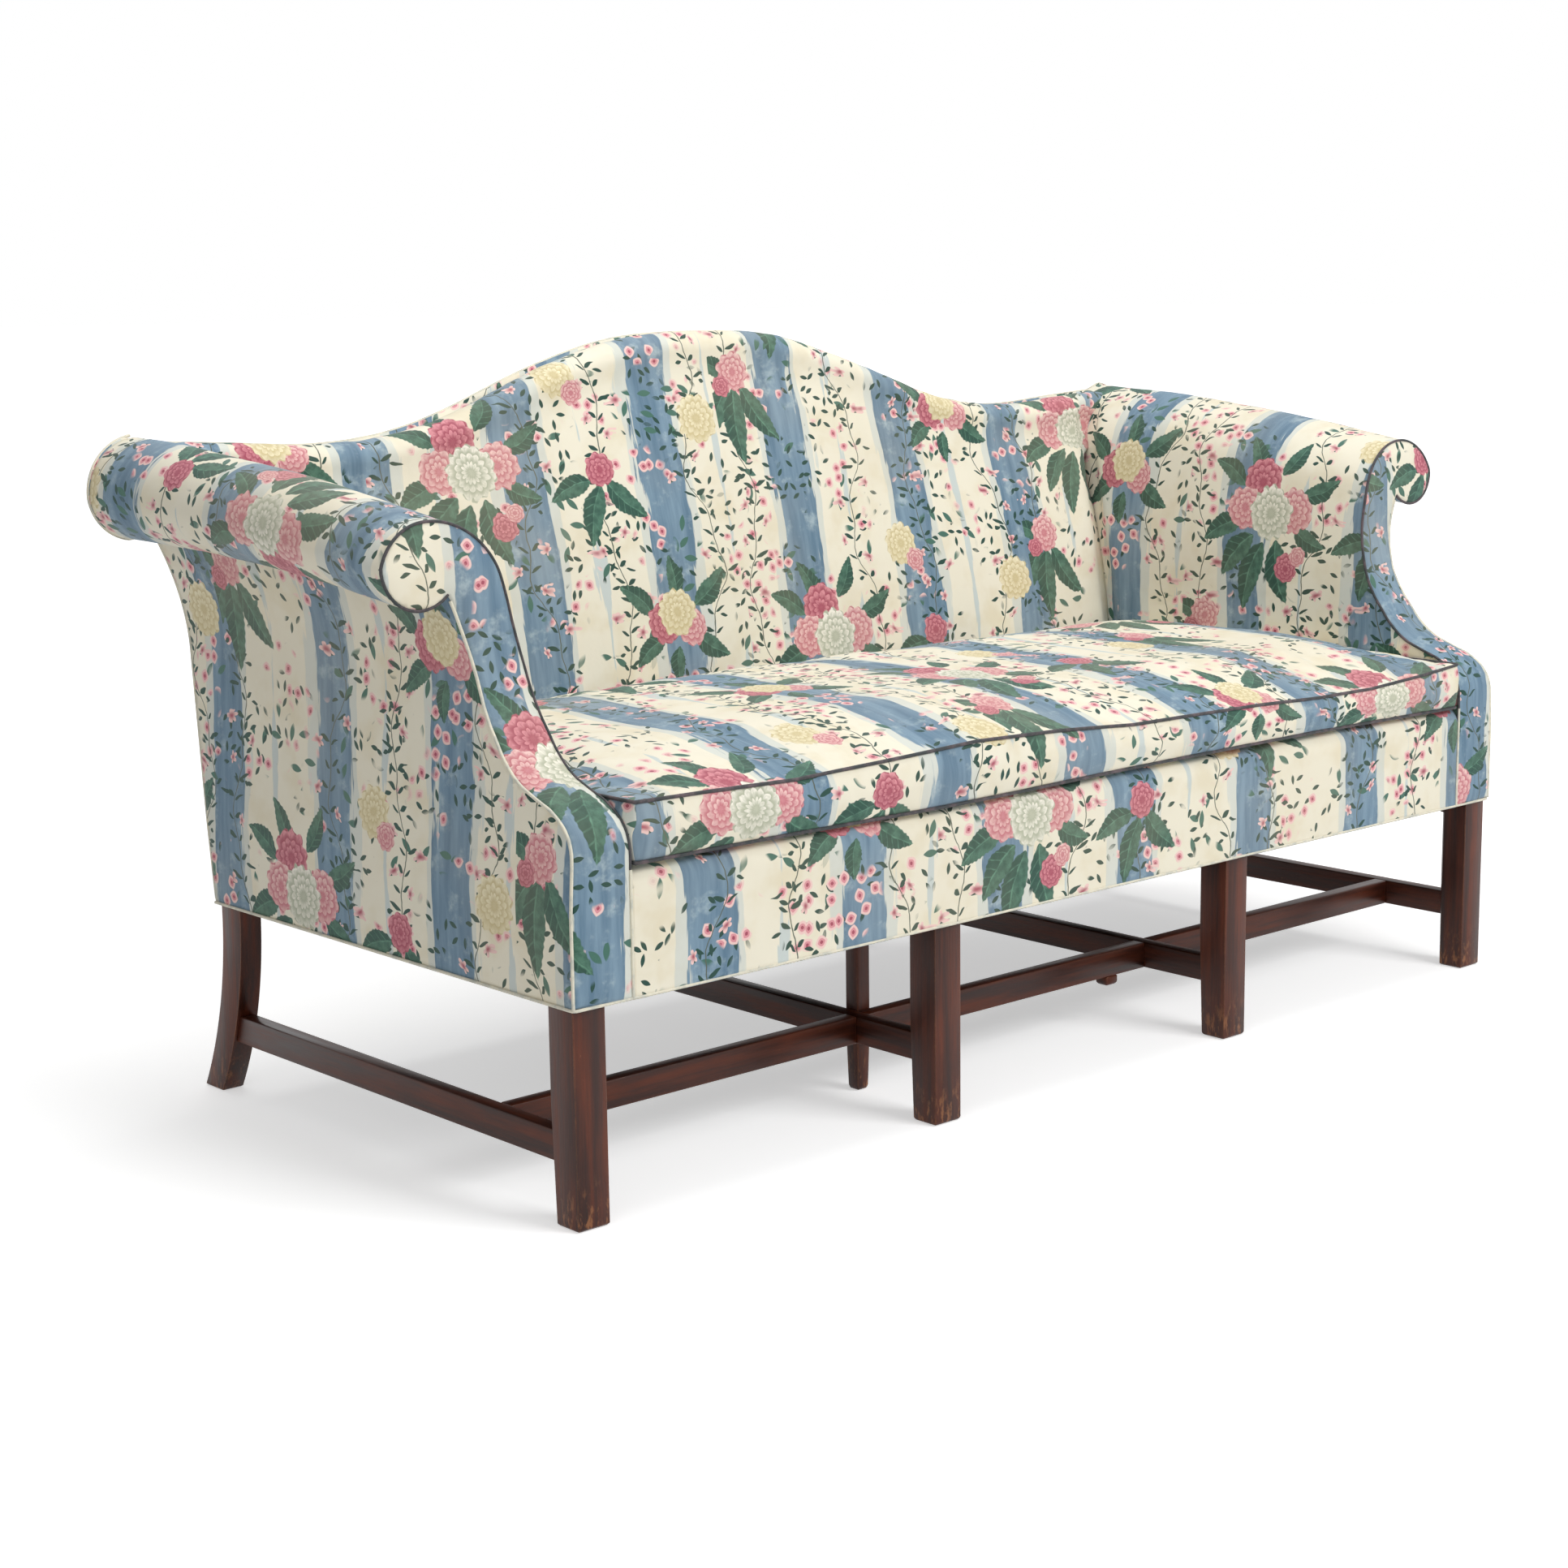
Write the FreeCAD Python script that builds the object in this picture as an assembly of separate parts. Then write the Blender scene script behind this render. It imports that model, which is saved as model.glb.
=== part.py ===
"""Camelback sofa, upholstered over a hardwood frame, in millimetres, +Z up.

The plan is drawn with depth 0 at the front face of the front legs and depth growing to the
back. Every shape moves by -DEPTH_CENTRE when it is written, so that the origin of the part is
the centre of its box, on the floor. X runs along the sofa and the front looks along -Y.
"""
import FreeCAD, Part
import math
import os

V = FreeCAD.Vector

# Driving dimensions: legs and stretchers
LEG = 47.0                    # side of the square legs
LEG_PITCH = 590.0             # spacing of the four front legs
FOOT = 41.0                   # depth of a front leg at the floor, after its taper
TAPER_TOP = 150.0             # height where the back face of a front leg starts to taper
LEG_CHAMFER = 7.0             # chamfer on the inner corner of a front leg
REAR_WIDE = 32.0              # width of a rear leg, thinner than it is deep
REAR_DEPTH = 732.0            # front face of a rear leg, at the rail
REAR_RAKE = 70.0              # how far a rear foot stands behind the top of its leg
RAKE_TOP = 260.0              # height where the rear leg starts to sweep back
STRETCHER_LOW = 77.0
STRETCHER_HIGH = 115.0
STRETCHER_THICK = 22.0
MEDIAL_DEPTH = 162.0          # front face of the long stretchers
POST_SIDE = 24.0              # centre support legs, square
POST_FOOT = 20.0
STUB_CENTRE = 212.0           # where a short block hangs under the middle stretcher
STUB_DROP = 14.0

# Driving dimensions: seat frame
HEM = 268.0                   # lower edge of the covers
RAIL_LOW = 274.0
RAIL_HIGH = 374.0
RAIL_THICK = 32.0
RAIL_SETBACK = 8.0            # rails stand this far inside the faces of the legs
TENON_HIGH = 40.0
TENON_WIDE = 24.0
TENON_THICK = 12.0

# Driving dimensions: covers and padding
PAD_FRONT = -6.0              # front face of the border and the arm facings
INNER_ARM = 824.0             # inner face of an arm, from the middle of the sofa
DECK_TOP = 425.0
COVER = 4.0                   # thickness of the outside covers
FACING = 6.0                  # thickness of an arm facing
REAR_HEM = 790.0              # rear face of the back, at the hem
REAR_SLOPE = 0.119            # how far the rear face leans back for each millimetre of height
SEAT_BACK = 699.0             # face of the inside back, at the deck
INNER_SLOPE = 0.24            # how far the inside back leans back
CREST_TOP = 1016.0            # height of the middle of the crest
CREST_RADIUS = 30.0           # half the thickness of the top of the back
ROLL_PROUD = 1.5              # the rolled crest stands this far outside the flat of the back
ROLL_SIDES = 16               # flats around the rolled crest
ROLL_STEPS = 2                # straight steps along each arc of it
ROLL_GAP = 0.5                # between the rolled crest and the cover behind it
ROLL_LAP = 12.0               # the flat of the back ends this far below the middle of the roll
ARM_END = 862.0               # depth of the last arm section, behind the rear cover

# Driving dimensions: seat springs
SPRING_COLUMNS = 6
SPRING_SPACING = 265.0
SPRING_FRONT_ROW = 190.0
SPRING_ROW_GAP = 190.0
SPRING_MOUTH = 40.0           # radius at the ends
SPRING_WAIST = 26.0           # radius at the middle
SPRING_WIRE = 3.4
SPRING_TURNS = 3
SPRING_SIDES = 8              # straight steps in a turn of the wire

# Driving dimensions: seat cushion
CUSHION_HALF = 819.0
CUSHION_FRONT = -12.0
CUSHION_BACK = 694.0
CUSHION_EDGE = 70.0           # height of the boxing band
CUSHION_CROWN = 32.0

DEPTH_CENTRE = 433.3

HALF_SPAN = 1.5 * LEG_PITCH + LEG / 2
LEG_CENTRES = [(i - 1.5) * LEG_PITCH for i in range(4)]
INNER_LEG = LEG_PITCH / 2
SIDE_RAIL_OUT = HALF_SPAN - RAIL_SETBACK
SIDE_RAIL_IN = SIDE_RAIL_OUT - RAIL_THICK
REAR_RAIL_FRONT = REAR_DEPTH + RAIL_SETBACK
BRACE_CENTRE = INNER_LEG - STRETCHER_THICK / 2 - POST_SIDE / 2

PARTS = {}


def keep(name, shape):
    """Hold a finished sub-part under its node name."""
    PARTS[name] = shape
    return shape


def box(x0, x1, y0, y1, z0, z1):
    return Part.makeBox(x1 - x0, y1 - y0, z1 - z0, V(x0, y0, z0))


def mirrored(shape):
    return shape.mirror(V(0, 0, 0), V(1, 0, 0))


def keep_pair(name, right):
    """Keep a sub-part and its mirror image on the left end."""
    keep(name + "_right", right)
    keep(name + "_left", mirrored(right))


def group(shapes):
    return Part.makeCompound(list(shapes))


def on_yz(point, x=0.0):
    return V(x, point[0], point[1])


def on_xz(point, y=0.0):
    return V(point[0], y, point[1])


def on_xy(point, z=0.0):
    return V(point[0], point[1], z)


def path_edges(path, place):
    """Edges through a path of points; a triple (mid, end, 'arc') makes an arc to its end."""
    edges = []
    here = path[0]
    for step in path[1:]:
        if len(step) == 3:
            edges.append(Part.Arc(place(here), place(step[0]), place(step[1])).toShape())
            here = step[1]
        else:
            edges.append(Part.LineSegment(place(here), place(step)).toShape())
            here = step
    return edges


def closed_face(path, place):
    """Face inside a path, closed with a straight edge."""
    edges = path_edges(path, place)
    start = edges[0].Vertexes[0].Point
    end = edges[-1].Vertexes[-1].Point
    if (start - end).Length > 1e-6:
        edges.append(Part.LineSegment(end, start).toShape())
    return Part.Face(Part.Wire(edges))


def slab_x(path, x0, x1):
    return closed_face(path, lambda p: on_yz(p, x0)).extrude(V(x1 - x0, 0, 0))


def slab_y(path, y0, y1):
    return closed_face(path, lambda p: on_xz(p, y0)).extrude(V(0, y1 - y0, 0))


def slab_z(path, z0, z1):
    return closed_face(path, lambda p: on_xy(p, z0)).extrude(V(0, 0, z1 - z0))


def sweep_arc(start, heading, end):
    """Step along the arc that leaves start on a heading, in degrees, and ends at end."""
    chord = math.degrees(math.atan2(end[1] - start[1], end[0] - start[0]))
    turn = (chord - heading + 180) % 360 - 180
    half = math.hypot(end[0] - start[0], end[1] - start[1]) / 2
    rise = half * math.tan(math.radians(turn / 2))
    side = math.radians(chord - 90)
    middle = ((start[0] + end[0]) / 2 + rise * math.cos(side),
              (start[1] + end[1]) / 2 + rise * math.sin(side))
    return (middle, end, "arc")


def moved(path, shift):
    """The same path, moved by a pair of distances."""
    def move(point):
        return (point[0] + shift[0], point[1] + shift[1])
    result = []
    for step in path:
        if len(step) == 3:
            result.append((move(step[0]), move(step[1]), "arc"))
        else:
            result.append(move(step))
    return result


def reversed_path(path):
    """The same path, walked from its end to its start."""
    ends = [step[1] if len(step) == 3 else step for step in path]
    result = [ends[-1]]
    for index in range(len(path) - 1, 0, -1):
        step = path[index]
        if len(step) == 3:
            result.append((step[0], ends[index - 1], "arc"))
        else:
            result.append(ends[index - 1])
    return result


def between(path, near, far):
    """Outline of the band between a path moved by near and the same path moved by far."""
    return moved(path, near) + reversed_path(moved(path, far))


def rear_face(z):
    """Depth of the rear face of the back at a height."""
    return REAR_HEM + (z - HEM) * REAR_SLOPE


def inner_face(z):
    """Depth of the face of the inside back at a height."""
    return SEAT_BACK + (z - DECK_TOP) * INNER_SLOPE


def raked(z0, z1, front, back, x0, x1):
    """Upright board that leans with the back; front and back are measured from its rear face."""
    return slab_x([(rear_face(z0) - front, z0), (rear_face(z0) - back, z0),
                   (rear_face(z1) - back, z1), (rear_face(z1) - front, z1)], x0, x1)


def front_leg(centre, top, tenon):
    """Straight leg, tapered at the back towards the foot, its inner back corner chamfered."""
    side = [(0, 0), (FOOT, 0), (LEG, TAPER_TOP), (LEG, top), (0, top)]
    leg = slab_x(side, centre - LEG / 2, centre + LEG / 2)
    worn = [edge for edge in leg.Edges if edge.BoundBox.ZMax < 1e-6]
    leg = leg.makeChamfer(2.5, worn)
    if tenon:
        tongue_front = RAIL_SETBACK + (RAIL_THICK - TENON_THICK) / 2
        leg = leg.fuse(box(centre - TENON_WIDE / 2, centre + TENON_WIDE / 2, tongue_front,
                           tongue_front + TENON_THICK, top, top + TENON_HIGH))
    else:
        inward = -1 if centre > 0 else 1
        corner = centre + inward * LEG / 2
        cut = [(corner, LEG), (corner - inward * LEG_CHAMFER, LEG), (corner, LEG - LEG_CHAMFER)]
        leg = leg.cut(slab_z(cut, -1, HEM - 20))
    return leg.removeSplitter()


def rear_leg_side(top):
    front = (REAR_DEPTH, RAKE_TOP)
    toe = (REAR_DEPTH + REAR_RAKE, 0)
    heel = (toe[0] + LEG - 2, 0)
    back = (REAR_DEPTH + LEG, RAKE_TOP)
    rise = sweep_arc(front, -90, toe)
    fall = reversed_path([back, sweep_arc(back, -90, heel)])
    return [(REAR_DEPTH, top), front, rise, heel] + fall[1:] + [(REAR_DEPTH + LEG, top)]


def rear_leg(centre, top, tenon):
    """Leg that sweeps back below the rail, as the back sweeps back above it."""
    leg = slab_x(rear_leg_side(top), centre - REAR_WIDE / 2, centre + REAR_WIDE / 2)
    worn = [edge for edge in leg.Edges if edge.BoundBox.ZMax < 1e-6]
    leg = leg.makeChamfer(2.0, worn)
    if tenon:
        tongue_front = REAR_RAIL_FRONT + (RAIL_THICK - TENON_THICK) / 2
        leg = leg.fuse(box(centre - TENON_WIDE / 2, centre + TENON_WIDE / 2, tongue_front,
                           tongue_front + TENON_THICK, top, top + TENON_HIGH))
    return leg


def make_legs():
    for index, centre in enumerate(LEG_CENTRES):
        outer = index in (0, 3)
        top = RAIL_HIGH if outer else RAIL_LOW
        keep("front_leg_%d" % (index + 1), front_leg(centre, top, not outer))
        if outer:
            centre = math.copysign(HALF_SPAN - REAR_WIDE / 2, centre)
        keep("rear_leg_%d" % (index + 1), rear_leg(centre, top, not outer))
    make_centre_leg()


def square_ring(x, y, side, z):
    half = side / 2
    corners = ((-half, -half), (half, -half), (half, half), (-half, half), (-half, -half))
    return Part.makePolygon([V(x + dx, y + dy, z) for dx, dy in corners])


def make_centre_leg():
    """Slim support leg in the corner where two stretchers cross, and the stub of another."""
    x = -BRACE_CENTRE
    y = MEDIAL_DEPTH + STRETCHER_THICK + POST_SIDE / 2
    taper = Part.makeLoft([square_ring(x, y, POST_FOOT, 0), square_ring(x, y, POST_SIDE, STRETCHER_LOW)],
                          True, True)
    shaft = box(x - POST_SIDE / 2, x + POST_SIDE / 2, y - POST_SIDE / 2, y + POST_SIDE / 2,
                STRETCHER_LOW, RAIL_LOW)
    keep("centre_leg", taper.fuse(shaft).removeSplitter())
    stub = box(STUB_CENTRE - POST_SIDE / 2, STUB_CENTRE + POST_SIDE / 2, MEDIAL_DEPTH,
               MEDIAL_DEPTH + STRETCHER_THICK, STRETCHER_LOW - STUB_DROP, STRETCHER_LOW)
    worn = [edge for edge in stub.Edges if edge.BoundBox.ZMax < STRETCHER_LOW - STUB_DROP + 1e-6]
    keep("stretcher_stub", stub.makeChamfer(3.0, worn))


def make_stretchers():
    inset = 4.0
    outer = HALF_SPAN - inset
    end = box(outer - STRETCHER_THICK, outer, LEG - 5, REAR_DEPTH + REAR_RAKE, STRETCHER_LOW,
              STRETCHER_HIGH)
    keep_pair("end_stretcher", largest(end.cut(PARTS["rear_leg_4"]).cut(PARTS["front_leg_4"])))
    cross = box(INNER_LEG - STRETCHER_THICK / 2, INNER_LEG + STRETCHER_THICK / 2, LEG - 5,
                REAR_DEPTH + REAR_RAKE, STRETCHER_LOW, STRETCHER_HIGH)
    cross = cross.cut(PARTS["rear_leg_3"]).cut(PARTS["front_leg_3"])
    keep_pair("cross_stretcher", largest(cross))
    long_side = box(INNER_LEG + STRETCHER_THICK / 2, outer - STRETCHER_THICK, MEDIAL_DEPTH,
                    MEDIAL_DEPTH + STRETCHER_THICK, STRETCHER_LOW, STRETCHER_HIGH)
    keep_pair("medial_stretcher", long_side)
    middle = INNER_LEG - STRETCHER_THICK / 2
    keep("medial_stretcher_centre", box(-middle, middle, MEDIAL_DEPTH, MEDIAL_DEPTH + STRETCHER_THICK,
                                        STRETCHER_LOW, STRETCHER_HIGH))


def largest(shape):
    """The biggest solid of a shape, without the slivers that a cut leaves behind."""
    return max(shape.Solids, key=lambda solid: solid.Volume)


def make_seat_frame():
    half = HALF_SPAN - LEG
    tenons = [PARTS["front_leg_2"], PARTS["front_leg_3"], PARTS["rear_leg_2"], PARTS["rear_leg_3"]]
    front = box(-half, half, RAIL_SETBACK, RAIL_SETBACK + RAIL_THICK, RAIL_LOW, RAIL_HIGH)
    rear_half = HALF_SPAN - REAR_WIDE
    rear = box(-rear_half, rear_half, REAR_RAIL_FRONT, REAR_RAIL_FRONT + RAIL_THICK, RAIL_LOW,
               RAIL_HIGH)
    for leg in tenons:
        front = front.cut(leg)
        rear = rear.cut(leg)
    keep("front_rail", front)
    keep("rear_rail", rear)
    keep_pair("side_rail", box(SIDE_RAIL_IN, SIDE_RAIL_OUT, LEG, REAR_DEPTH, RAIL_LOW, RAIL_HIGH))
    braces = []
    for side in (-1, 1):
        middle = side * BRACE_CENTRE
        start = (RAIL_SETBACK + RAIL_THICK, RAIL_LOW + 60)
        end = (REAR_RAIL_FRONT, RAIL_LOW + 60)
        dip = ((start[0] + end[0]) / 2, RAIL_LOW + 38)
        outline = [(start[0], RAIL_LOW), start, (dip, end, "arc"), (end[0], RAIL_LOW)]
        braces.append(slab_x(outline, middle - POST_SIDE / 2, middle + POST_SIDE / 2))
    keep("seat_braces", group(braces))
    make_corner_blocks()


def wood_screw(head, aim):
    """Countersunk screw: a hexagonal shank and head, set in from a point along a direction."""
    across = V(0, 0, 1)
    beside = aim.cross(across)
    rings = []
    for distance, radius in ((0, 4.5), (3, 2.2), (28, 2.2)):
        middle = head + aim * distance
        points = [middle + across * (radius * math.cos(math.radians(60 * i)))
                  + beside * (radius * math.sin(math.radians(60 * i))) for i in range(7)]
        rings.append(Part.makePolygon(points))
    return Part.makeLoft(rings, True, True)


def make_corner_blocks():
    """Triangular glue blocks in the four corners, each held by two screws."""
    arm = 70.0
    low = RAIL_LOW + 25
    high = RAIL_LOW + 70
    blocks = []
    screws = []
    for side in (-1, 1):
        for rear in (False, True):
            x = side * SIDE_RAIL_IN
            y = REAR_RAIL_FRONT if rear else RAIL_SETBACK + RAIL_THICK
            way = -1 if rear else 1
            block = slab_z([(x, y), (x - side * arm, y), (x, y + way * arm)], low, high)
            for leg in ("front_leg_1", "front_leg_4", "rear_leg_1", "rear_leg_4"):
                block = block.cut(PARTS[leg])
            middle = V(x - side * arm / 2, y + way * arm / 2, 0)
            aim = V(side, -way, 0)
            aim.normalize()
            for height in (low + 12, high - 12):
                head = V(middle.x, middle.y, height)
                screw = wood_screw(head, aim)
                block = block.cut(screw)
                screws.append(screw)
            blocks.append(block)
    keep("corner_blocks", group(blocks))
    keep("corner_block_screws", group(screws))


def crest_path(drop=0.0):
    """Serpentine top of the back from the middle to the right end, in X and Z.

    The centre hump and each shoulder are arcs that meet without a corner. A drop lowers the
    whole line and keeps its shape.
    """
    top = CREST_TOP - drop
    points = [(0.0, top), (90.0, top - 2.5), (285.0, top - 42.0), (450.0, top - 100.0),
              (690.0, top - 139.0), (800.0, top - 132.0), (930.0, top - 124.0)]
    path = [points[0]]
    heading = 0.0
    for here, there in zip(points, points[1:]):
        step = sweep_arc(here, heading, there)
        path.append(step)
        chord = math.degrees(math.atan2(there[1] - here[1], there[0] - here[0]))
        heading = 2 * chord - heading
    return path


def whole_crest(drop=0.0):
    """The crest from the left end to the right end."""
    right = crest_path(drop)
    left = [(-right[0][0], right[0][1])]
    for step in right[1:]:
        left.append(((-step[0][0], step[0][1]), (-step[1][0], step[1][1]), "arc"))
    return reversed_path(left) + right[1:]


def facing_path():
    """Front edge of an arm in depth and height: upright, a tight turn back, then an S to the scroll."""
    path = [(PAD_FRONT, HEM - 20), (PAD_FRONT, 452)]
    path.append(sweep_arc((PAD_FRONT, 452), 90, (20, 492)))
    path.append((85, 516))
    path.append(sweep_arc((85, 516), 20, (158, 590)))
    path.append(sweep_arc((158, 590), 70, (194, 730)))
    path.append((211, 900))
    return path


def arm_section(along):
    """Outline of an arm across the sofa, in X and Z: 0 is the front scroll, 1 the rear end.

    It climbs the inner face, rolls over the top and hangs outside the panel below it.
    """
    swell = 12.0 * 4 * along * (1 - along)

    def mix(front, rear, lift=0.0):
        return (front[0] + (rear[0] - front[0]) * along,
                front[1] + (rear[1] - front[1]) * along + lift * swell)
    bottom_in = (INNER_ARM, HEM)
    spring_in = mix((INNER_ARM, 570), (INNER_ARM, 600))
    shoulder = mix((848, 750), (850, 806), 1)
    top = mix((952, 824), (955, 902), 1)
    outermost = mix((1017, 773), (1031, 826), 1)
    under = mix((966, 722), (978, 766), 1)
    notch = mix((926, 738), (950, 782), 1)
    flare = mix((897, 620), (907, 620))
    knee = (911, 382)
    bottom_out = (911.5, HEM)
    path = [bottom_in, spring_in]
    path.append(sweep_arc(spring_in, 90, shoulder))
    path.append(sweep_arc(shoulder, 75, top))
    path.append(sweep_arc(top, -4, outermost))
    path.append(sweep_arc(outermost, -90, under))
    path.append(sweep_arc(under, 180, notch))
    path.append(sweep_arc(flare, 90, notch)[:1] + (flare, "arc"))
    path.append(knee)
    path.append(bottom_out)
    return path


def arm_body():
    """Whole right arm as one closed form, trimmed to the front S curve and the rear plane."""
    front_at = 205.0
    front = slab_y(arm_section(0), PAD_FRONT, front_at)
    wires = []
    for along in (0.0, 0.25, 0.5, 0.75, 1.0):
        depth = front_at + (ARM_END - front_at + 40) * along
        edges = closed_face(arm_section(along), lambda p: on_xz(p, depth)).OuterWire
        wires.append(edges)
    rear = Part.makeLoft(wires, True, True)
    body = front.fuse(rear)
    ahead = slab_x([(-200, HEM - 20)] + facing_path() + [(-200, 900)], 700, 1100)
    behind = slab_x([(rear_face(200) - COVER, 200), (rear_face(1000) - COVER, 1000), (1200, 1000),
                     (1200, 200)], 700, 1100)
    return body.cut(ahead).cut(behind), body.cut(behind)


def make_arm_frame():
    inside = 864.0
    outside = 890.0
    limit = box(0, 1200, -100, 1200, RAIL_HIGH, 742)
    post = slab_x(between(facing_path(), (8, -8), (50, -50)), inside, outside).common(limit)
    keep_pair("arm_post", post)
    board_front = 210.0
    board_back = 232.0
    board = [(866, 742), (872, 764), (900, 790), (945, 806), (985, 798), (1000, 772), (985, 746),
             (955, 740), (930, 752), (912, 742)]
    keep_pair("arm_scroll_board", slab_y(board, board_front, board_back))
    back_low = rear_face(815) - 36
    back_high = rear_face(840) - 36
    rail = slab_x([(board_back, 756), (board_back, 778), (back_high, 840), (back_low, 818)], 935, 990)
    keep_pair("arm_top_rail", rail)
    keep_pair("arm_rear_block", raked(795, 855, 36, 6, outside, 990))
    lower = box(inside, 886, 60, rear_face(440) - 36 - 1, 440, 480)
    keep_pair("arm_lower_rail", largest(lower.cut(post)))


def make_back_frame():
    inside = 864.0
    outside = 890.0
    keep_pair("back_post", raked(RAIL_HIGH, 855, 36, 6, inside, outside))
    crest = slab_y(whole_crest(38) + reversed_path(whole_crest(112)), 600, 1000)
    board = raked(700, CREST_TOP, 36, 8, -inside, inside)
    crest = largest(crest.common(board))
    keep("crest_rail", crest)
    uprights = []
    lower_rails = []
    half = 16.0
    for side in (-1, 1):
        upright = raked(RAIL_HIGH, 960, 36, 6, side * INNER_LEG - half, side * INNER_LEG + half)
        below = slab_y([(-1100, 0)] + whole_crest(112) + [(1100, 0)], 600, 1000)
        uprights.append(largest(upright.common(below)))
    keep("back_uprights", group(uprights))
    for low, high in ((-inside, -INNER_LEG - half), (-INNER_LEG + half, INNER_LEG - half),
                      (INNER_LEG + half, inside)):
        lower_rails.append(raked(470, 515, 36, 12, low, high))
    keep("back_lower_rails", group(lower_rails))


def make_webbing():
    """Jute strips: two layers under the seat rails and one layer each way up the back."""
    wide = 50.0
    thick = 1.5
    strips = []
    for index in range(14):
        middle = (index - 6.5) * 122.0
        strips.append(box(middle - wide / 2, middle + wide / 2, RAIL_SETBACK + 4,
                          REAR_RAIL_FRONT + RAIL_THICK - 4, RAIL_LOW - thick, RAIL_LOW))
    for index in range(4):
        middle = 140 + index * 165.0
        strips.append(box(-SIDE_RAIL_OUT + 4, SIDE_RAIL_OUT - 4, middle - wide / 2, middle + wide / 2,
                          RAIL_LOW - 2 * thick, RAIL_LOW - thick))
    legs = [PARTS[name] for name in PARTS if "leg" in name]
    trimmed = []
    for strip in strips:
        for leg in legs:
            if strip.BoundBox.intersect(leg.BoundBox):
                strip = strip.cut(leg)
        trimmed.extend(strip.Solids)
    keep("seat_webbing", group(trimmed))
    upright = []
    for index in range(11):
        middle = (index - 5) * 150.0
        strip = raked(480, 1000, 36 + thick, 36, middle - wide / 2, middle + wide / 2)
        below = slab_y([(-1100, 0)] + whole_crest(80) + [(1100, 0)], 600, 1000)
        upright.append(largest(strip.common(below)))
    for low in (590.0, 720.0):
        upright.append(raked(low, low + wide, 36 + 2 * thick, 36 + thick, -880, 880))
    keep("back_webbing", group(upright))


def coil_spring(x, y):
    """Hourglass seat spring: one unbroken wire of three turns, square in section."""
    low = RAIL_LOW + SPRING_WIRE / 2 + 0.1
    high = RAIL_HIGH - SPRING_WIRE / 2 - 0.1
    steps = SPRING_TURNS * SPRING_SIDES
    corners = ((-0.5, -0.5), (0.5, -0.5), (0.5, 0.5), (-0.5, 0.5), (-0.5, -0.5))
    rings = []
    for step in range(steps + 1):
        share = step / steps
        middle_radius = SPRING_WAIST + (SPRING_MOUTH - SPRING_WAIST) * abs(2 * share - 1) ** 1.5
        angle = 2 * math.pi * SPRING_TURNS * share
        height = low + (high - low) * share
        points = []
        for outward, upward in corners:
            radius = middle_radius + outward * SPRING_WIRE
            points.append(V(x + radius * math.cos(angle), y + radius * math.sin(angle),
                            height + upward * SPRING_WIRE))
        rings.append(Part.makePolygon(points))
    return Part.makeLoft(rings, True, True)


def make_seat_inside():
    springs = []
    for row in range(3):
        for column in range(SPRING_COLUMNS):
            x = (column - (SPRING_COLUMNS - 1) / 2) * SPRING_SPACING
            springs.append(coil_spring(x, SPRING_FRONT_ROW + row * SPRING_ROW_GAP))
    keep("seat_springs", group(springs))
    deck = slab_x([(56.5, RAIL_HIGH), (56.5, DECK_TOP), (inner_face(DECK_TOP) - 1, DECK_TOP),
                   (inner_face(RAIL_HIGH) - 1, RAIL_HIGH)], -INNER_ARM + 0.5, INNER_ARM - 0.5)
    keep("seat_deck", deck)
    border = [(PAD_FRONT, HEM), (PAD_FRONT, 398)]
    border.append(sweep_arc(border[-1], 90, (16, DECK_TOP - 0.5)))
    border += [(56, DECK_TOP - 0.5), (56, RAIL_HIGH), (RAIL_SETBACK, RAIL_HIGH), (RAIL_SETBACK, HEM)]
    front = slab_x(border, -INNER_ARM, INNER_ARM)
    for index in (2, 3):
        front = front.cut(PARTS["front_leg_%d" % index])
    keep("front_border", front)


def make_arms():
    body, uncut = arm_body()
    band = slab_x(between(facing_path(), (0, 0), (FACING, -FACING)), 700, 1100)
    above_hem = box(700, 1100, -50, 400, HEM, 900)
    facing = uncut.common(band).common(above_hem)
    facing = largest(facing.cut(PARTS["front_leg_4"]))
    keep_pair("arm_facing", facing)
    side = [(905, HEM - 5), (905, 382), (893, 600), (893, 900), (1100, 900), (1100, HEM - 5)]
    wedge = slab_x([(-50, HEM - 5), (-50, 722), (205, 722), (900, 762), (900, HEM - 5)], 700, 1100)
    cover = body.common(slab_y(side, -50, 950)).common(wedge).cut(band)
    frame = [PARTS[name] for name in ("front_leg_4", "rear_leg_4", "side_rail_right")]
    for piece in frame:
        cover = cover.cut(piece)
    cover = largest(cover)
    keep_pair("outside_arm_cover", cover)
    cavity = slab_y([(862, RAIL_HIGH), (862, 655), (880, 700), (893, 700), (893, 600), (905, 382),
                     (905, RAIL_HIGH)], FACING, 950)
    low = box(700, 1100, -50, 950, HEM - 5, RAIL_HIGH)
    pad = body.cut(cavity).cut(low).cut(band).cut(cover)
    for name in ("arm_post_right", "arm_scroll_board_right", "arm_top_rail_right",
                 "arm_rear_block_right", "arm_lower_rail_right", "back_post_right", "crest_rail",
                 "back_lower_rails", "back_webbing"):
        pad = pad.cut(PARTS[name])
    keep_pair("inside_arm", largest(pad))
    return body


def round_ring(centre, along, normal, radius):
    """Many-sided ring about a line at one point, with its first corner on a given normal."""
    aside = along.cross(normal)
    corners = []
    for index in range(ROLL_SIDES + 1):
        angle = 2 * math.pi * index / ROLL_SIDES
        corners.append(centre + normal * (radius * math.cos(angle)) + aside * (radius * math.sin(angle)))
    return Part.makePolygon(corners)


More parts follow.
